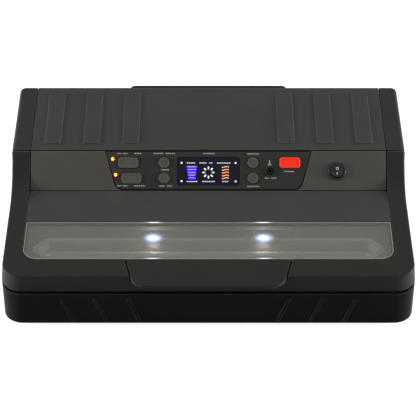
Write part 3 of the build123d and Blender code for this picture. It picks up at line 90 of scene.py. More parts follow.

# %% [markdown]
# ## Moulded ABS
# The case is injection-moulded ABS, an opaque plastic with an index of about 1.5. Its mould was
# spark-eroded, which leaves a fine, even grain of about a quarter of a millimetre. The grain is
# too fine to see from across a table, so it is drawn at 0.9 mm and kept shallow, and a slow
# drift in roughness over a few centimetres gives the faint cloudiness that real mouldings have.
# So fine a grain also scatters the mirror part of the light, so the specular level is low.
#
# Seams and gaps are darker than open faces, and that darkness is painted shade. The
# Ambient Occlusion node measures how shut in a point is, and the colour darkens with it.
# Outer edges get a painted highlight, a fine, paler line mixed into the colour.
# The Bevel node gives the normal that a rounded edge would have, and where that turns away from
# the true one there is an edge.

# %% The grained plastics
def moulded_abs(name, colour, roughness=0.42, grain_mm=0.9, relief_mm=0.02, drift=0.06, level=0.5,
                crevice_mm=6.0, edge_mm=0.7, edge_shine=0.35, edge_highlight_colour="#7A766C"):
    material, tree = new_finish(name)
    place = add_node(tree, "ShaderNodeTexCoord").outputs["Object"]
    grain = add_node(tree, "ShaderNodeTexNoise", Vector=place, Scale=1000 / grain_mm, Detail=2.0,
                     Roughness=0.6).outputs["Fac"]
    cloud = add_node(tree, "ShaderNodeTexNoise", Vector=place, Scale=1000 / 45.0, Detail=3.0,
                     Roughness=0.5).outputs["Fac"]
    rough = add_node(tree, "ShaderNodeMapRange", Value=cloud, From_Min=0.3, From_Max=0.7,
                     To_Min=roughness - drift, To_Max=roughness + drift).outputs["Result"]
    tone = add_node(tree, "ShaderNodeMapRange", Value=cloud, From_Min=0.3, From_Max=0.7,
                    To_Min=0.94, To_Max=1.06).outputs["Result"]
    clouded = add_node(tree, "ShaderNodeMix", {"data_type": "RGBA", "blend_type": "MULTIPLY"},
                       i0=1.0, i6=linear(colour), i7=tone).outputs[2]
    # painted shade: the colour darkens, down to near black, where seams, gaps and creases shut a point in
    open_sky = add_node(tree, "ShaderNodeAmbientOcclusion", {"samples": 8},
                        Distance=crevice_mm * MM).outputs["AO"]
    painted_shade = add_node(tree, "ShaderNodeMapRange", Value=open_sky, From_Min=0.3, From_Max=0.85,
                    To_Min=0.05, To_Max=1.0).outputs["Result"]
    shaded = add_node(tree, "ShaderNodeMix", {"data_type": "RGBA", "blend_type": "MULTIPLY"},
                      i0=1.0, i6=clouded, i7=painted_shade).outputs[2]
    # painted highlight: a paler colour mixed in along outer edges, found with the Bevel node
    true_normal = add_node(tree, "ShaderNodeNewGeometry").outputs["Normal"]
    rounded = add_node(tree, "ShaderNodeBevel", {"samples": 4}, Radius=edge_mm * MM).outputs["Normal"]
    facing = add_node(tree, "ShaderNodeVectorMath", {"operation": "DOT_PRODUCT"}, i0=true_normal,
                      i1=rounded).outputs["Value"]
    edge_highlight_mask = add_node(tree, "ShaderNodeMapRange", Value=facing, From_Min=0.995, From_Max=0.93,
                      To_Min=0.0, To_Max=edge_shine).outputs["Result"]
    painted_edge_highlight = add_node(tree, "ShaderNodeMath", {"operation": "MULTIPLY"}, i0=edge_highlight_mask, i1=painted_shade).outputs[0]
    tint = add_node(tree, "ShaderNodeMix", {"data_type": "RGBA"}, i0=painted_edge_highlight, i6=shaded,
                    i7=linear(edge_highlight_colour)).outputs[2]
    bump = add_node(tree, "ShaderNodeBump", Height=grain, Strength=0.35,
                    Distance=relief_mm * MM).outputs["Normal"]
    shader = add_node(tree, "ShaderNodeBsdfPrincipled", Base_Color=tint, Roughness=rough, Normal=bump,
                      IOR=1.5, Specular_IOR_Level=level)
    return close_finish(material, tree, shader)


abs_black = moulded_abs("ABS, black, spark-eroded grain", "#11120F", level=0.03,
                        edge_shine=0.5)
abs_lid = moulded_abs("ABS, near-black, fine grain", "#282927", level=0.04)
abs_cheek = moulded_abs("ABS, black-grey, fine grain", "#2E302E", level=0.04)
abs_grey = moulded_abs("ABS, dark grey, fine grain", "#3A3C3A", level=0.05)
abs_console = moulded_abs("ABS, dark grey, warm, fine grain", "#484744", level=0.05)
abs_rocker = moulded_abs("ABS, black, polished tool", "#1B1C1B", roughness=0.3, level=0.2,
                         edge_mm=0.4)
abs_key = moulded_abs("ABS, key grey, satin", "#4A4D44", roughness=0.5, drift=0.02, level=0.12)
abs_red = moulded_abs("ABS, signal red, satin", "#FF3222", roughness=0.45, drift=0.02, level=0.2,
                      edge_highlight_colour="#FF6A58")
print("grained plastics:", len(bpy.data.materials))

# %% [markdown]
# ## Polycarbonate, rubber, metal and the rest
# The window is clear polycarbonate with a smoke tint. It is thin and flat, so light bends little
# in it, and a plain alpha shows what is behind and lets the lamps in. The gaskets are soft foam
# rubber, which scatters light and shines little. The hidden metal is zinc-plated sheet steel and
# extruded aluminium, both drawn with fine lines along the way they were rolled or pressed.

# %% Clear, soft and metal finishes
def polished(name, colour, roughness=0.08, alpha=1.0, glow=0.0, glow_colour=None, ior=1.5,
             level=0.5):
    """Smooth plastic, clear or solid, with a faint unevenness in its polish."""
    material, tree = new_finish(name)
    place = add_node(tree, "ShaderNodeTexCoord").outputs["Object"]
    haze = add_node(tree, "ShaderNodeTexNoise", Vector=place, Scale=1000 / 30.0, Detail=2.0).outputs["Fac"]
    rough = add_node(tree, "ShaderNodeMapRange", Value=haze, To_Min=roughness * 0.7,
                     To_Max=roughness * 1.3).outputs["Result"]
    shader = add_node(tree, "ShaderNodeBsdfPrincipled", Base_Color=linear(colour), Roughness=rough,
                      Alpha=alpha, IOR=ior, Specular_IOR_Level=level, Emission_Strength=glow,
                      Emission_Color=linear(glow_colour or colour))
    return close_finish(material, tree, shader)


def soft_rubber(name, colour, pore_mm=1.2, roughness=0.75, relief=0.4, spread=0.12):
    """Moulded or foamed rubber, with shallow pores."""
    material, tree = new_finish(name)
    place = add_node(tree, "ShaderNodeTexCoord").outputs["Object"]
    pores = add_node(tree, "ShaderNodeTexVoronoi", Vector=place, Scale=1000 / pore_mm).outputs["Distance"]
    bump = add_node(tree, "ShaderNodeBump", Height=pores, Strength=relief,
                    Distance=0.05 * MM).outputs["Normal"]
    tone = add_node(tree, "ShaderNodeMapRange", Value=pores, To_Min=1.0 - spread,
                    To_Max=1.0 + spread).outputs["Result"]
    tint = add_node(tree, "ShaderNodeMix", {"data_type": "RGBA", "blend_type": "MULTIPLY"},
                    i0=1.0, i6=linear(colour), i7=tone).outputs[2]
    shader = add_node(tree, "ShaderNodeBsdfPrincipled", Base_Color=tint, Roughness=roughness,
                      Normal=bump, Specular_IOR_Level=0.35, IOR=1.5)
    return close_finish(material, tree, shader)


def rolled_metal(name, colour, roughness=0.35, line_mm=1.0):
    """Sheet or bar metal, with fine lines along X."""
    material, tree = new_finish(name)
    place = add_node(tree, "ShaderNodeTexCoord").outputs["Object"]
    stretched = add_node(tree, "ShaderNodeMapping", Vector=place,
                         Scale=(20.0, 1000 / line_mm, 1000 / line_mm)).outputs["Vector"]
    lines = add_node(tree, "ShaderNodeTexNoise", Vector=stretched, Scale=1.0, Detail=3.0).outputs["Fac"]
    rough = add_node(tree, "ShaderNodeMapRange", Value=lines, To_Min=roughness - 0.08,
                     To_Max=roughness + 0.1).outputs["Result"]
    bump = add_node(tree, "ShaderNodeBump", Height=lines, Strength=0.3, Distance=0.01 * MM).outputs["Normal"]
    shader = add_node(tree, "ShaderNodeBsdfPrincipled", Base_Color=linear(colour), Metallic=1.0,
                      Roughness=rough, Normal=bump)
    return close_finish(material, tree, shader)


smoked_pc = polished("polycarbonate, grey tint, faint haze", "#8E8E86", roughness=0.06, alpha=0.34,
                     level=0.15)
film_gloss = polished("polyester film, black-green, matt lacquer", "#31322F", roughness=0.3, level=0.05)
# the near-black is the acrylic's own; its violet cast is painted glow, the lit segments' light spread in the
# window
screen_glass_painted_glow = polished("acrylic, near-black violet", "#1C1B26", roughness=0.12, level=0.05)
lens_amber = polished("clear lens over an amber lamp", "#FF8A20", roughness=0.2, glow=3.5,
                      glow_colour="#FF7A18")
lens_core = polished("heart of an amber lamp", "#FFF0C8", roughness=0.2, glow=6.0,
                     glow_colour="#FFE2A0")
lens_white = polished("clear lens over a white lamp", "#F4F8FF", roughness=0.2, glow=10.0,
                      glow_colour="#EAF2FF")
foam_gasket = soft_rubber("EPDM foam, moulded skin", "#85827A", pore_mm=1.0, relief=0.08, spread=0.03)
foot_rubber = soft_rubber("rubber, black, moulded", "#1A1A1A", pore_mm=2.0)
silicone = soft_rubber("silicone, grey", "#8C8C88", roughness=0.6)
hose_rubber = soft_rubber("rubber hose, black", "#171717", roughness=0.5)
ptfe_cloth = soft_rubber("PTFE-coated glass cloth, tan", "#7A6545", pore_mm=0.8, roughness=0.5)
zinc_steel = rolled_metal("sheet steel, zinc-plated", "#B9BABA")
screw_steel = rolled_metal("screw steel, zinc-plated", "#9C9C9A", roughness=0.3)
black_steel = rolled_metal("pin steel, black oxide", "#232323", roughness=0.5)
alu_bar = rolled_metal("aluminium, extruded", "#D5D6D8", roughness=0.3)
nichrome = rolled_metal("nichrome ribbon", "#8A857C", roughness=0.4)
brass = rolled_metal("brass, turned", "#C9A355", roughness=0.3)
trough_abs = moulded_abs("ABS, warm grey chamber", "#C8C4B8", roughness=0.5, drift=0.04, relief_mm=0.004,
                         level=0.2)
board_green = polished("solder mask, green", "#1D5A34", roughness=0.3)
motor_paint = moulded_abs("pump casting, grey paint", "#6F7274", roughness=0.5)
core_lacquer = moulded_abs("laminated core, lacquered", "#46474B", roughness=0.5)

finish_of = {
    "base_pan": abs_black, "carry_handle": abs_black, "fan_frame": abs_black, "fan_rotor": abs_black,
    "power_inlet": abs_black, "power_switch": abs_rocker, "power_rocker": abs_rocker,
    "accessory_port": abs_black, "lid_sensor": abs_black, "rear_housing": abs_cheek, "lid_frame": abs_lid,
    "front_handle": abs_lid, "upper_deck": abs_lid, "lid_panel": abs_grey, "rear_cover": abs_grey,
    "console_housing": abs_console, "vacuum_trough": trough_abs, "lid_window": smoked_pc,
    "control_inset": film_gloss, "display_window": screen_glass_painted_glow, "display_module": screen_glass_painted_glow,
    "bag_key_upper": abs_key, "bag_key_lower": abs_key, "mode_key_upper_left": abs_key,
    "mode_key_lower_left": abs_key, "mode_key_upper_right": abs_key, "mode_key_lower_right": abs_key,
    "start_key": abs_red, "indicator_leds": lens_amber, "chamber_lights": lens_white,
    "lower_gasket": foam_gasket, "upper_gasket": foam_gasket, "vacuum_hoses": hose_rubber,
    "rubber_feet": foot_rubber, "pump_mounts": foot_rubber, "pressure_strip": silicone,
    "ptfe_tape": ptfe_cloth, "seal_bar": alu_bar, "heating_wire": nichrome, "release_valve": brass,
    "control_board": board_green, "supply_board": board_green, "vacuum_pump_left": motor_paint,
    "vacuum_pump_right": motor_paint, "transformer": core_lacquer, "latch_catches": zinc_steel,
    "latch_hooks": zinc_steel, "hinge_pins": zinc_steel, "handle_pins": black_steel,
    "hinge_neck_left": zinc_steel, "hinge_neck_right": zinc_steel, "hinge_bracket_left": zinc_steel,
    "hinge_bracket_right": zinc_steel, "lid_magnet": zinc_steel, "case_screws": screw_steel,
    "lid_screws": screw_steel, "neck_screws": screw_steel, "board_screws": screw_steel,
    "carry_screws": screw_steel,
}
for name, piece in node.items():
    piece.data.materials.clear()
    piece.data.materials.append(finish_of[name])
print("finished nodes:", len(finish_of), "of", len(node))

# %% [markdown]
# ## The stage
# A camera on the same slope as a person's view of a worktop, a pale floor, and soft lamps. The
# floor and the world show white to the camera, and light the case at a plain level.

# %% Camera, floor and lamps
camera_data = bpy.data.cameras.new("camera")
camera_data.lens = 135.0
camera_data.sensor_width = 36.0
camera = bpy.data.objects.new("camera", camera_data)
bpy.context.scene.collection.objects.link(camera)
camera.location = (-0.00045, -1.3078, 0.9976)
camera.rotation_euler = (radians(90 - 36), 0, 0)
bpy.context.scene.camera = camera
bpy.context.scene.view_settings.view_transform = "Standard"

world = bpy.data.worlds.new("studio")
bpy.context.scene.world = world
world.use_nodes = True
world.node_tree.nodes.clear()
def seen_ray(tree):
    """1 where a ray comes from the camera, a mirror or glass, and 0 where it lights a surface."""
    path = add_node(tree, "ShaderNodeLightPath")
    mirror = add_node(tree, "ShaderNodeMath", {"operation": "MAXIMUM"}, i0=path.outputs["Is Camera Ray"],
                      i1=path.outputs["Is Glossy Ray"]).outputs[0]
    return add_node(tree, "ShaderNodeMath", {"operation": "MAXIMUM"}, i0=mirror,
                    i1=path.outputs["Is Transmission Ray"]).outputs[0]


upward = add_node(world.node_tree, "ShaderNodeSeparateXYZ",
                  Vector=add_node(world.node_tree, "ShaderNodeTexCoord").outputs["Generated"]).outputs["Z"]
ceiling = add_node(world.node_tree, "ShaderNodeMapRange", Value=upward, From_Min=0.0, From_Max=0.8,
                   To_Min=0.09, To_Max=0.39).outputs["Result"]
sky = add_node(world.node_tree, "ShaderNodeMix", {"data_type": "RGBA"}, i0=seen_ray(world.node_tree),
               i6=ceiling, i7=(1, 1, 1, 1)).outputs[2]
back = add_node(world.node_tree, "ShaderNodeBackground", Color=sky, Strength=1.0)
out = add_node(world.node_tree, "ShaderNodeOutputWorld")
world.node_tree.links.new(back.outputs[0], out.inputs["Surface"])

bpy.ops.object.select_all(action="DESELECT")
bpy.ops.mesh.primitive_plane_add(size=6.0, location=(0, 0, 0))
floor = bpy.context.object
floor.name = "floor"
floor_paint, tree = new_finish("floor paint, white")
lift = add_node(tree, "ShaderNodeMath", {"operation": "MULTIPLY"}, i0=seen_ray(tree), i1=0.85).outputs[0]
shader = add_node(tree, "ShaderNodeBsdfPrincipled", Base_Color=(0.5, 0.5, 0.5, 1), Roughness=0.9,
                  Emission_Color=(1, 1, 1, 1), Emission_Strength=lift, Specular_IOR_Level=0.1)
close_finish(floor_paint, tree, shader)
floor.data.materials.append(floor_paint)


def softbox(name, place, aim, size, watts):
    data = bpy.data.lights.new(name, "AREA")
    data.shape = "RECTANGLE"
    data.size, data.size_y = size
    data.energy = watts
    lamp = bpy.data.objects.new(name, data)
    bpy.context.scene.collection.objects.link(lamp)
    lamp.location = place
    lamp.rotation_euler = (Vector(aim) - Vector(place)).to_track_quat("-Z", "Y").to_euler()
    return lamp


top_watts, side_watts = 7.5, 44
softbox("top softbox", (0, 0.35, 1.6), (0, 0, 0), (1.6, 1.0), top_watts)
for side, hand in ((-1, "left"), (1, "right")):
    softbox(hand + " softbox", (side * 1.5, -0.12, 0.25), (side * 0.2, -0.1, 0.05), (0.5, 0.4), side_watts)

# %% [markdown]
# ## Small things on a slope
# The keys, the display and the printed marks all lie on the sloping console. It is easier to
# draw them flat, in millimetres about the middle of the display, and then to lay the finished
# mesh on the slope. The slope is read from the display window's own front face, so that the
# marks follow if the console is changed.

# %% Helpers for drawing flat and laying in place
def face_frame(name):
    """The middle of a node's largest upward face, as a matrix whose Z looks out of it."""
    faces = [f for f in node[name].data.polygons if f.normal.z > 0.2]
    out = max(faces, key=lambda f: f.area).normal.copy()
    same = [f for f in faces if f.normal.dot(out) > 0.9999]
    middle = sum((f.center * f.area for f in same), Vector()) / sum(f.area for f in same)
    along = Vector((1, 0, 0))
    return Matrix.Translation(middle) @ Matrix((along, out.cross(along), out)).transposed().to_4x4()


def start_clean():
    """Nothing selected and nothing in edit mode, before a primitive is added."""
    if bpy.context.object and bpy.context.object.mode != "OBJECT":
        bpy.ops.object.mode_set(mode="OBJECT")
    bpy.ops.object.select_all(action="DESELECT")


def flat_bar(x, y, length, height, turn=0.0, round_off=0.45, thick=0.06):
    """A thin bar with rounded ends, in millimetres on the XY plane."""
    start_clean()
    bpy.ops.mesh.primitive_plane_add(size=1.0)
    bar = bpy.context.object
    bar.scale = (length, height, 1)
    bpy.ops.object.transform_apply(scale=True)
    bpy.ops.object.mode_set(mode="EDIT")
    bpy.ops.mesh.bevel(affect="VERTICES", offset=round_off * height, offset_pct=0, segments=3)
    bpy.ops.mesh.extrude_region_move(TRANSFORM_OT_translate={"value": (0, 0, thick)})
    bpy.ops.mesh.select_all(action="SELECT")
    bpy.ops.mesh.normals_make_consistent(inside=False)
    bpy.ops.object.mode_set(mode="OBJECT")
    bar.rotation_euler = (0, 0, turn)
    bar.location = (x, y, 0)
    return bar


def join(pieces, name):
    """Several drawn shapes as one object with its place in its mesh."""
    start_clean()
    for piece in pieces:
        piece.select_set(True)
    bpy.context.view_layer.objects.active = pieces[0]
    bpy.ops.object.transform_apply(location=True, rotation=True, scale=True)
    if len(pieces) > 1:
        bpy.ops.object.join()
    pieces[0].name = name
    pieces[0].data.name = name
    return pieces[0]


def lay(piece, where, lift=0.0):
    """Drawn millimetres become metres on a face, and the place goes into the mesh."""
    start_clean()
    piece.select_set(True)
    bpy.context.view_layer.objects.active = piece
    piece.matrix_world = where @ Matrix.Translation((0, 0, lift * MM)) @ Matrix.Scale(MM, 4)
    bpy.ops.object.transform_apply(location=True, rotation=True, scale=True)
    return piece


slope = face_frame("display_window")
print("console slope:", [round(c, 4) for c in slope.translation])

# %% [markdown]
# ## The display
# Behind its near-black acrylic window the display has lit segments: five bars that narrow
# downwards in violet-blue, a ring of eight petals in white, five waves in orange, a lit dot in
# each corner, and short lines where a maker would print words. Lit segments look flat and even,
# so they are thin plates with an emissive finish, a hair above the window's face.

# %% Lit segments
def lit(name, colour, glow):
    return polished(name, colour, roughness=0.3, glow=glow, glow_colour=colour, level=0.0)


lit_violet = lit("segment, violet-blue", "#9E84FF", 0.85)
lit_blue = lit("segment glow, deep blue", "#2A12D8", 0.8)
lit_white = lit("segment, white", "#F0F2FF", 0.95)
lit_dim = lit("segment, white, dimmed", "#B4B4BE", 0.85)
lit_orange = lit("segment, orange", "#F09A62", 0.9)

bar_levels = (4.5, 1.7, -1.3, -4.0, -6.9)
bars = [flat_bar(-16.95, y, 9.6 - 0.8 * i, 0.95) for i, y in enumerate(bar_levels)]
level_bars = join(bars, "display_level_bars")

glow_rows = [flat_bar(-16.95, y - 0.2, 11.2 - 0.75 * i, 3.0, thick=0.02) for i, y in enumerate(bar_levels)]
level_glow = join(glow_rows, "display_level_glow")

petals = []
for i in range(8):
    angle = i * pi / 4
    petals.append(flat_bar(4.75 * cos(angle), -1.3 + 4.75 * sin(angle), 2.7, 1.15, turn=angle,
                           round_off=0.48))
ring = join(petals, "display_ring")


def wave(y):
    """One flat wave, as a strip whose edges follow a sine."""
    start_clean()
    bpy.ops.mesh.primitive_grid_add(x_subdivisions=24, y_subdivisions=1, size=1.0)
    strip = bpy.context.object
    for corner in strip.data.vertices:
        x = corner.co.x
        corner.co = (17.3 + x * 7.2, y + corner.co.y * 0.85 + 0.5 * sin(x * 2 * pi + 0.6), 0)
    bpy.ops.object.mode_set(mode="EDIT")
    bpy.ops.mesh.select_all(action="SELECT")
    bpy.ops.mesh.extrude_region_move(TRANSFORM_OT_translate={"value": (0, 0, 0.06)})
    bpy.ops.mesh.select_all(action="SELECT")
    bpy.ops.mesh.normals_make_consistent(inside=False)
    bpy.ops.object.mode_set(mode="OBJECT")
    return strip


waves = join([wave(y) for y in (4.3, 1.4, -1.4, -4.4, -7.1)], "display_waves")


def dash_row(x, y, length, height, words):
    """A row of short lines in place of words, each word some lines with small gaps."""
    total = sum(words) + (len(words) - 1) * 1.2
    made, at = [], x - length / 2
    for word in words:
        step = length / total
        for i in range(word):
            made.append(flat_bar(at + (i + 0.5) * step, y, step * 0.72, height, round_off=0.3))
        at += (word + 1.2) * step
    return made


display_lines = []
for x, y, length, words in ((-17.9, 8.4, 9.0, (4,)), (-2.5, 8.4, 13.8, (4, 2)), (15.6, 8.4, 14.2, (6,)),
                            (-16.7, -10.6, 11.2, (5,)), (0.0, -10.6, 13.4, (6,)), (17.1, -10.6, 6.8, (3,))):
    display_lines += dash_row(x, y, length, 1.05, words)
display_text = join(display_lines, "display_lines")
dots = join([flat_bar(x, y, 1.75, 1.75, round_off=0.49)
             for x, y in ((-27.4, 8.6), (27.7, 8.5), (-27.5, -10.2), (27.7, -10.5))], "display_dots")

for piece, finish, lift in ((level_glow, lit_blue, 0.005), (level_bars, lit_violet, 0.02),
                            (ring, lit_white, 0.01), (waves, lit_orange, 0.01),
                            (display_text, lit_dim, 0.01), (dots, lit_white, 0.01)):
    lay(piece, slope, lift)
    piece.data.materials.append(finish)
    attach(piece, "base")
print("display pieces laid")

# %% [markdown]
# ## Printed marks
# On the film round the keys a maker pad-prints words in light grey. Short plain lines stand in
# their places here, and a small outline of a hose tip marks the accessory port. Pad printing
# is a film of ink a few hundredths of a millimetre thick, so the marks are plates that thin.

# %% Marks on the film
ink_grey = polished("pad-printing ink, light grey", "#9C9E9B", roughness=0.5)
film_face = face_frame("control_inset")
film_lift = (slope.inverted() @ film_face.translation).z / MM

labels = []
for x, y, length, words in (
    (-88.0, 18.2, 10.6, (4, 4)), (-72.0, 18.2, 7.6, (3,)),
    (-88.0, -15.0, 10.6, (4, 4)), (-70.5, -15.0, 11.6, (5,)),
    (-45.1, 18.2, 22.6, (5, 5)), (-44.3, 1.5, 8.0, (4,)), (-43.6, -15.2, 13.4, (3, 3)),
    (45.7, 17.7, 12.4, (6,)), (45.7, -15.6, 12.4, (6,)), (63.4, -7.1, 12.2, (3, 4)),
    (82.0, -0.3, 10.4, (5,)), (0.5, 18.1, 12.2, (6,)),
):
    labels += dash_row(x, y, length, 1.15, words)
# the hose tip over the port: a stem, a collar and a foot
labels += [flat_bar(62.4, 10.2, 1.0, 2.8, round_off=0.2), flat_bar(62.4, 8.2, 2.2, 0.8, round_off=0.3),
           flat_bar(62.4, 6.6, 3.6, 0.9, round_off=0.3)]
printed = lay(join(labels, "printed_marks"), slope, film_lift + 0.005)
printed.data.materials.append(ink_grey)
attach(printed, "base")

# %% [markdown]
# ## The rocker's marks
# A mains rocker carries a ring for off and a bar for on. Each is drawn flat and laid on its own
# half of the rocker, whose two faces meet in a shallow valley, and they ride with the rocker.

# %% Ring and bar on the rocker
def half_frame(name, upper):
    """The frame of one of the rocker's two sloping faces."""
    faces = [f for f in node[name].data.polygons if f.normal.z > 0.2 and f.area > 1e-9]
    normals = {}
    for f in faces:
        key = tuple(round(c, 3) for c in f.normal)
        normals.setdefault(key, []).append(f)
    flats = sorted(normals.values(), key=lambda fs: -sum(f.area for f in fs))[:2]
    frames = []
    for fs in flats:
        out = fs[0].normal.copy()
        middle = sum((f.center * f.area for f in fs), Vector()) / sum(f.area for f in fs)
        along = Vector((1, 0, 0))
        turned = Matrix((along, out.cross(along), out)).transposed().to_4x4()
        frames.append(Matrix.Translation(middle) @ turned)
    frames.sort(key=lambda m: m.translation.z)
    return frames[1] if upper else frames[0]


start_clean()
bpy.ops.mesh.primitive_cylinder_add(vertices=32, radius=1.4, depth=0.06, location=(0, 0, 0.03))
off_ring = bpy.context.object
bpy.ops.object.mode_set(mode="EDIT")
bpy.ops.mesh.select_all(action="DESELECT")
shape = bmesh.from_edit_mesh(off_ring.data)
for face in shape.faces:
    face.select_set(abs(face.normal.z) > 0.9)
bmesh.update_edit_mesh(off_ring.data)
bpy.ops.mesh.inset(thickness=0.42)
bpy.ops.mesh.bridge_edge_loops()
bpy.ops.object.mode_set(mode="OBJECT")
off_ring = lay(join([off_ring], "rocker_ring"), half_frame("power_rocker", True), 0.005)
on_bar = lay(join([flat_bar(0, 0, 0.5, 2.6, round_off=0.1)], "rocker_bar"),
             half_frame("power_rocker", False), 0.005)
ink_white = polished("pad-printing ink, white", "#E6E6E2", roughness=0.5)
for mark in (off_ring, on_bar):
    mark.data.materials.append(ink_white)
    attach(mark, "power_rocker")
print("rocker marks laid")

# %% [markdown]
# ## The window's edge
# The window is cut from sheet and its edge is polished. Its bright outline is a painted highlight:
# a pale plate with the window's own outline, inset once, with its middle taken out and its rim
# raised. The outline is measured on the window's upper face. Near each of the two lamps the plate's
# finish glows, a painted glint for lamp light leaving the edge. The glow belongs to the finish and
# stays when the lid opens, which the real one's doesn't.

# %% Painted highlight on the window's rim
def top_outline(name):
    """The frame of a node's upper face, its half length, its front and rear, and its front corner radius."""
    frame_of = face_frame(name)
    back = frame_of.inverted()
    points = [back @ v.co for v in node[name].data.vertices]
    points = [p for p in points if abs(p.z) < 0.02 * MM]
    half, low_y, high_y = max(p.x for p in points), min(p.y for p in points), max(p.y for p in points)
    flat = max(p.x for p in points if p.y < low_y + 0.01 * MM)
    return frame_of, half / MM, low_y / MM, high_y / MM, (half - flat) / MM


window_frame, window_half, window_low, window_high, window_round = top_outline("lid_window")
start_clean()
bpy.ops.mesh.primitive_plane_add(size=1.0)
edge_rim = bpy.context.object
edge_rim.scale = (2 * window_half, window_high - window_low, 1)
edge_rim.location = (0, (window_high + window_low) / 2, 0)
bpy.ops.object.transform_apply(location=True, scale=True)
bpy.ops.object.mode_set(mode="EDIT")
for front_end, radius, steps in ((True, window_round, 10), (False, 1.5, 3)):
    bpy.ops.mesh.select_all(action="DESELECT")
    shape = bmesh.from_edit_mesh(edge_rim.data)
    for corner in shape.verts:
        ends = corner.co.y < window_low + 0.01 if front_end else corner.co.y > window_high - 0.01
        corner.select_set(ends)
    shape.select_flush_mode()
    bmesh.update_edit_mesh(edge_rim.data)
    bpy.ops.mesh.bevel(affect="VERTICES", offset=radius, offset_pct=0, segments=steps)
bpy.ops.mesh.select_all(action="SELECT")
bpy.ops.mesh.inset(thickness=0.8)
bpy.ops.mesh.delete(type="FACE")
bpy.ops.mesh.select_all(action="SELECT")
bpy.ops.mesh.extrude_region_move(TRANSFORM_OT_translate={"value": (0, 0, 0.1)})
bpy.ops.mesh.select_all(action="SELECT")
bpy.ops.mesh.normals_make_consistent(inside=False)
bpy.ops.object.mode_set(mode="OBJECT")
edge_rim = lay(join([edge_rim], "window_edge"), window_frame, 0.01)

lamp_x = 54.5                                    # the two lamps, each side of the middle
# painted highlight: a pale outline, with a painted glint glowing near each lamp
window_edge_highlight, tree = new_finish("polycarbonate edge, painted highlight and glints")
across = add_node(tree, "ShaderNodeSeparateXYZ",
                  Vector=add_node(tree, "ShaderNodeTexCoord").outputs["Object"]).outputs["X"]
offset = add_node(tree, "ShaderNodeMath", {"operation": "ABSOLUTE"}, i0=across).outputs[0]
offset = add_node(tree, "ShaderNodeMath", {"operation": "SUBTRACT"}, i0=offset, i1=lamp_x * MM).outputs[0]
offset = add_node(tree, "ShaderNodeMath", {"operation": "ABSOLUTE"}, i0=offset).outputs[0]
painted_glint = add_node(tree, "ShaderNodeMapRange", {"interpolation_type": "SMOOTHERSTEP"}, Value=offset,
                 From_Min=0.0, From_Max=11.0 * MM, To_Min=1.6, To_Max=0.0).outputs["Result"]
shader = add_node(tree, "ShaderNodeBsdfPrincipled", Base_Color=linear("#8A8A82"), Roughness=0.3,
                  Specular_IOR_Level=0.2, Emission_Color=linear("#DCE6FF"), Emission_Strength=painted_glint)
close_finish(window_edge_highlight, tree, shader)
edge_rim.data.materials.append(window_edge_highlight)
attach(edge_rim, "lid")
print("window:", round(2 * window_half, 1), "x", round(window_high - window_low, 1), "mm, corner",
      round(window_round, 1))

# %% [markdown]
# ## Painted glow over the lamps
# The lamps' beams lean forward and cross the window a little ahead of the lenses. There a soft
# blue-white glow is painted, standing in for light scattered by faint haze in the sheet. It is
# drawn as a flat, mostly clear disc in the window's surface whose own light fades outwards, by
# the distance from the lamp's middle. Like the edge, it goes on glowing when the lid opens.

# %% Painted glow in the window
painted_glow_y = 3.0                                     # from the middle of the window's upper face
painted_glow_wide, painted_glow_deep = 1.1, 0.75                 # the disc's stretch along and across the window
disc_radius, glow_reach = 17.0, 16.0
glow_discs = []
for side in (-1, 1):
    start_clean()
    bpy.ops.mesh.primitive_circle_add(vertices=48, radius=disc_radius, fill_type="TRIFAN",
                                      location=(side * lamp_x, painted_glow_y, 0))
    disc = bpy.context.object
    disc.scale = (painted_glow_wide, painted_glow_deep, 1)
    glow_discs.append(disc)
painted_glow_disc = lay(join(glow_discs, "window_painted_glow"), window_frame, 0.03)

# painted glow: light that fades out from each lamp's place, drawn in the window's surface
haze, tree = new_finish("polycarbonate, painted glow over a lamp")
place = add_node(tree, "ShaderNodeTexCoord").outputs["Object"]
axes = add_node(tree, "ShaderNodeSeparateXYZ", Vector=place)
glow_middle = window_frame @ Vector((0, painted_glow_y * MM, 0))
offset = add_node(tree, "ShaderNodeMath", {"operation": "ABSOLUTE"}, i0=axes.outputs["X"]).outputs[0]
offset = add_node(tree, "ShaderNodeMath", {"operation": "SUBTRACT"}, i0=offset, i1=lamp_x * MM).outputs[0]
wide = add_node(tree, "ShaderNodeMath", {"operation": "DIVIDE"}, i0=offset, i1=painted_glow_wide).outputs[0]
along = add_node(tree, "ShaderNodeMath", {"operation": "SUBTRACT"}, i0=axes.outputs["Y"],
                 i1=glow_middle.y).outputs[0]
deep = add_node(tree, "ShaderNodeMath", {"operation": "DIVIDE"}, i0=along, i1=painted_glow_deep).outputs[0]
reach = add_node(tree, "ShaderNodeVectorMath", {"operation": "LENGTH"},
                 i0=add_node(tree, "ShaderNodeCombineXYZ", X=wide, Y=deep).outputs[0]).outputs["Value"]
fade = add_node(tree, "ShaderNodeMapRange", {"interpolation_type": "SMOOTHERSTEP"}, Value=reach,
                From_Min=0.0, From_Max=glow_reach * MM, To_Min=1.0, To_Max=0.0).outputs["Result"]
strength = add_node(tree, "ShaderNodeMath", {"operation": "POWER"}, i0=fade, i1=3.0).outputs[0]
strength = add_node(tree, "ShaderNodeMath", {"operation": "MULTIPLY"}, i0=strength, i1=45.0).outputs[0]
shader = add_node(tree, "ShaderNodeBsdfPrincipled", Base_Color=linear("#6E6E68"), Roughness=0.3, Alpha=0.04,
                  Specular_IOR_Level=0.0, Emission_Color=linear("#B4C8FF"), Emission_Strength=strength)
close_finish(haze, tree, shader)
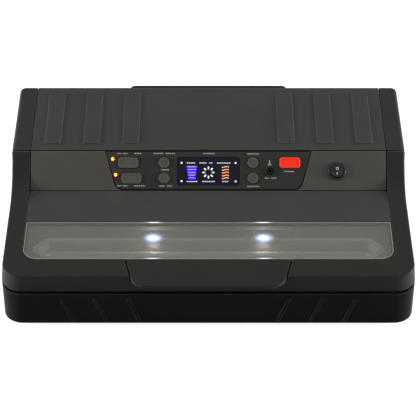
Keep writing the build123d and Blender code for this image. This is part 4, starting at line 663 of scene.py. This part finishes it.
painted_glow_disc.data.materials.append(haze)
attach(painted_glow_disc, "lid")

# %% [markdown]
# ## Hearts of the amber lamps
# Each amber lamp has a white-hot middle where the chip sits under its lens. It is a small ball,
# pressed to a third of its height, in the middle of the lens.

# %% Lamp hearts
hearts = []
led_faces = [f for f in node["indicator_leds"].data.polygons if f.normal.z > 0.5]
split = sum(f.center.z for f in led_faces) / len(led_faces)
led_tops = []
for upper in (True, False):
    chosen = [f.center for f in led_faces if (f.center.z > split) == upper]
    led_tops.append(sum(chosen, Vector()) / len(chosen))
for top in led_tops:
    spot = slope.inverted() @ top / MM
    start_clean()
    bpy.ops.mesh.primitive_uv_sphere_add(segments=20, ring_count=10, radius=0.9,
                                         location=(spot.x, spot.y, spot.z))
    ball = bpy.context.object
    ball.scale = (1, 1, 0.35)
    hearts.append(ball)
heart = lay(join(hearts, "indicator_hearts"), slope, 0.0)
heart.data.materials.append(lens_core)
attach(heart, "base")
print("amber lamps at", [[round(c, 4) for c in top] for top in led_tops])

# %% [markdown]
# ## Light that the lamps throw
# A glowing lens lights a path tracer poorly, because so few rays find it. So each lens gets a
# small point lamp just in front of it, which throws the light that the real one throws: blue
# white along the chamber, and amber in a small pool on the film.

# %% Small lamps
def spill(name, place, watts, colour, size=0.001):
    data = bpy.data.lights.new(name, "POINT")
    data.energy = watts
    data.shadow_soft_size = size
    data.color = linear(colour)[:3]
    lamp = bpy.data.objects.new(name, data)
    bpy.context.scene.collection.objects.link(lamp)
    lamp.location = place


lens_low, lens_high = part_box("chamber_lights")
for side in (-1, 1):
    middle_y = (lens_low.y + lens_high.y) / 2
    spill("chamber lamp", (side * lamp_x * MM, middle_y - 0.004, lens_high.z + 0.003), 0.06, "#F2F8FF", 0.002)
    spill("chamber pool", (side * lamp_x * MM, middle_y - 0.020, lens_high.z), 0.004, "#F2F8FF", 0.002)
for top in led_tops:
    spill("indicator spill", top + slope.to_3x3() @ Vector((0, 0, 0.002)), 0.0015, "#FF8A1C", 0.0006)
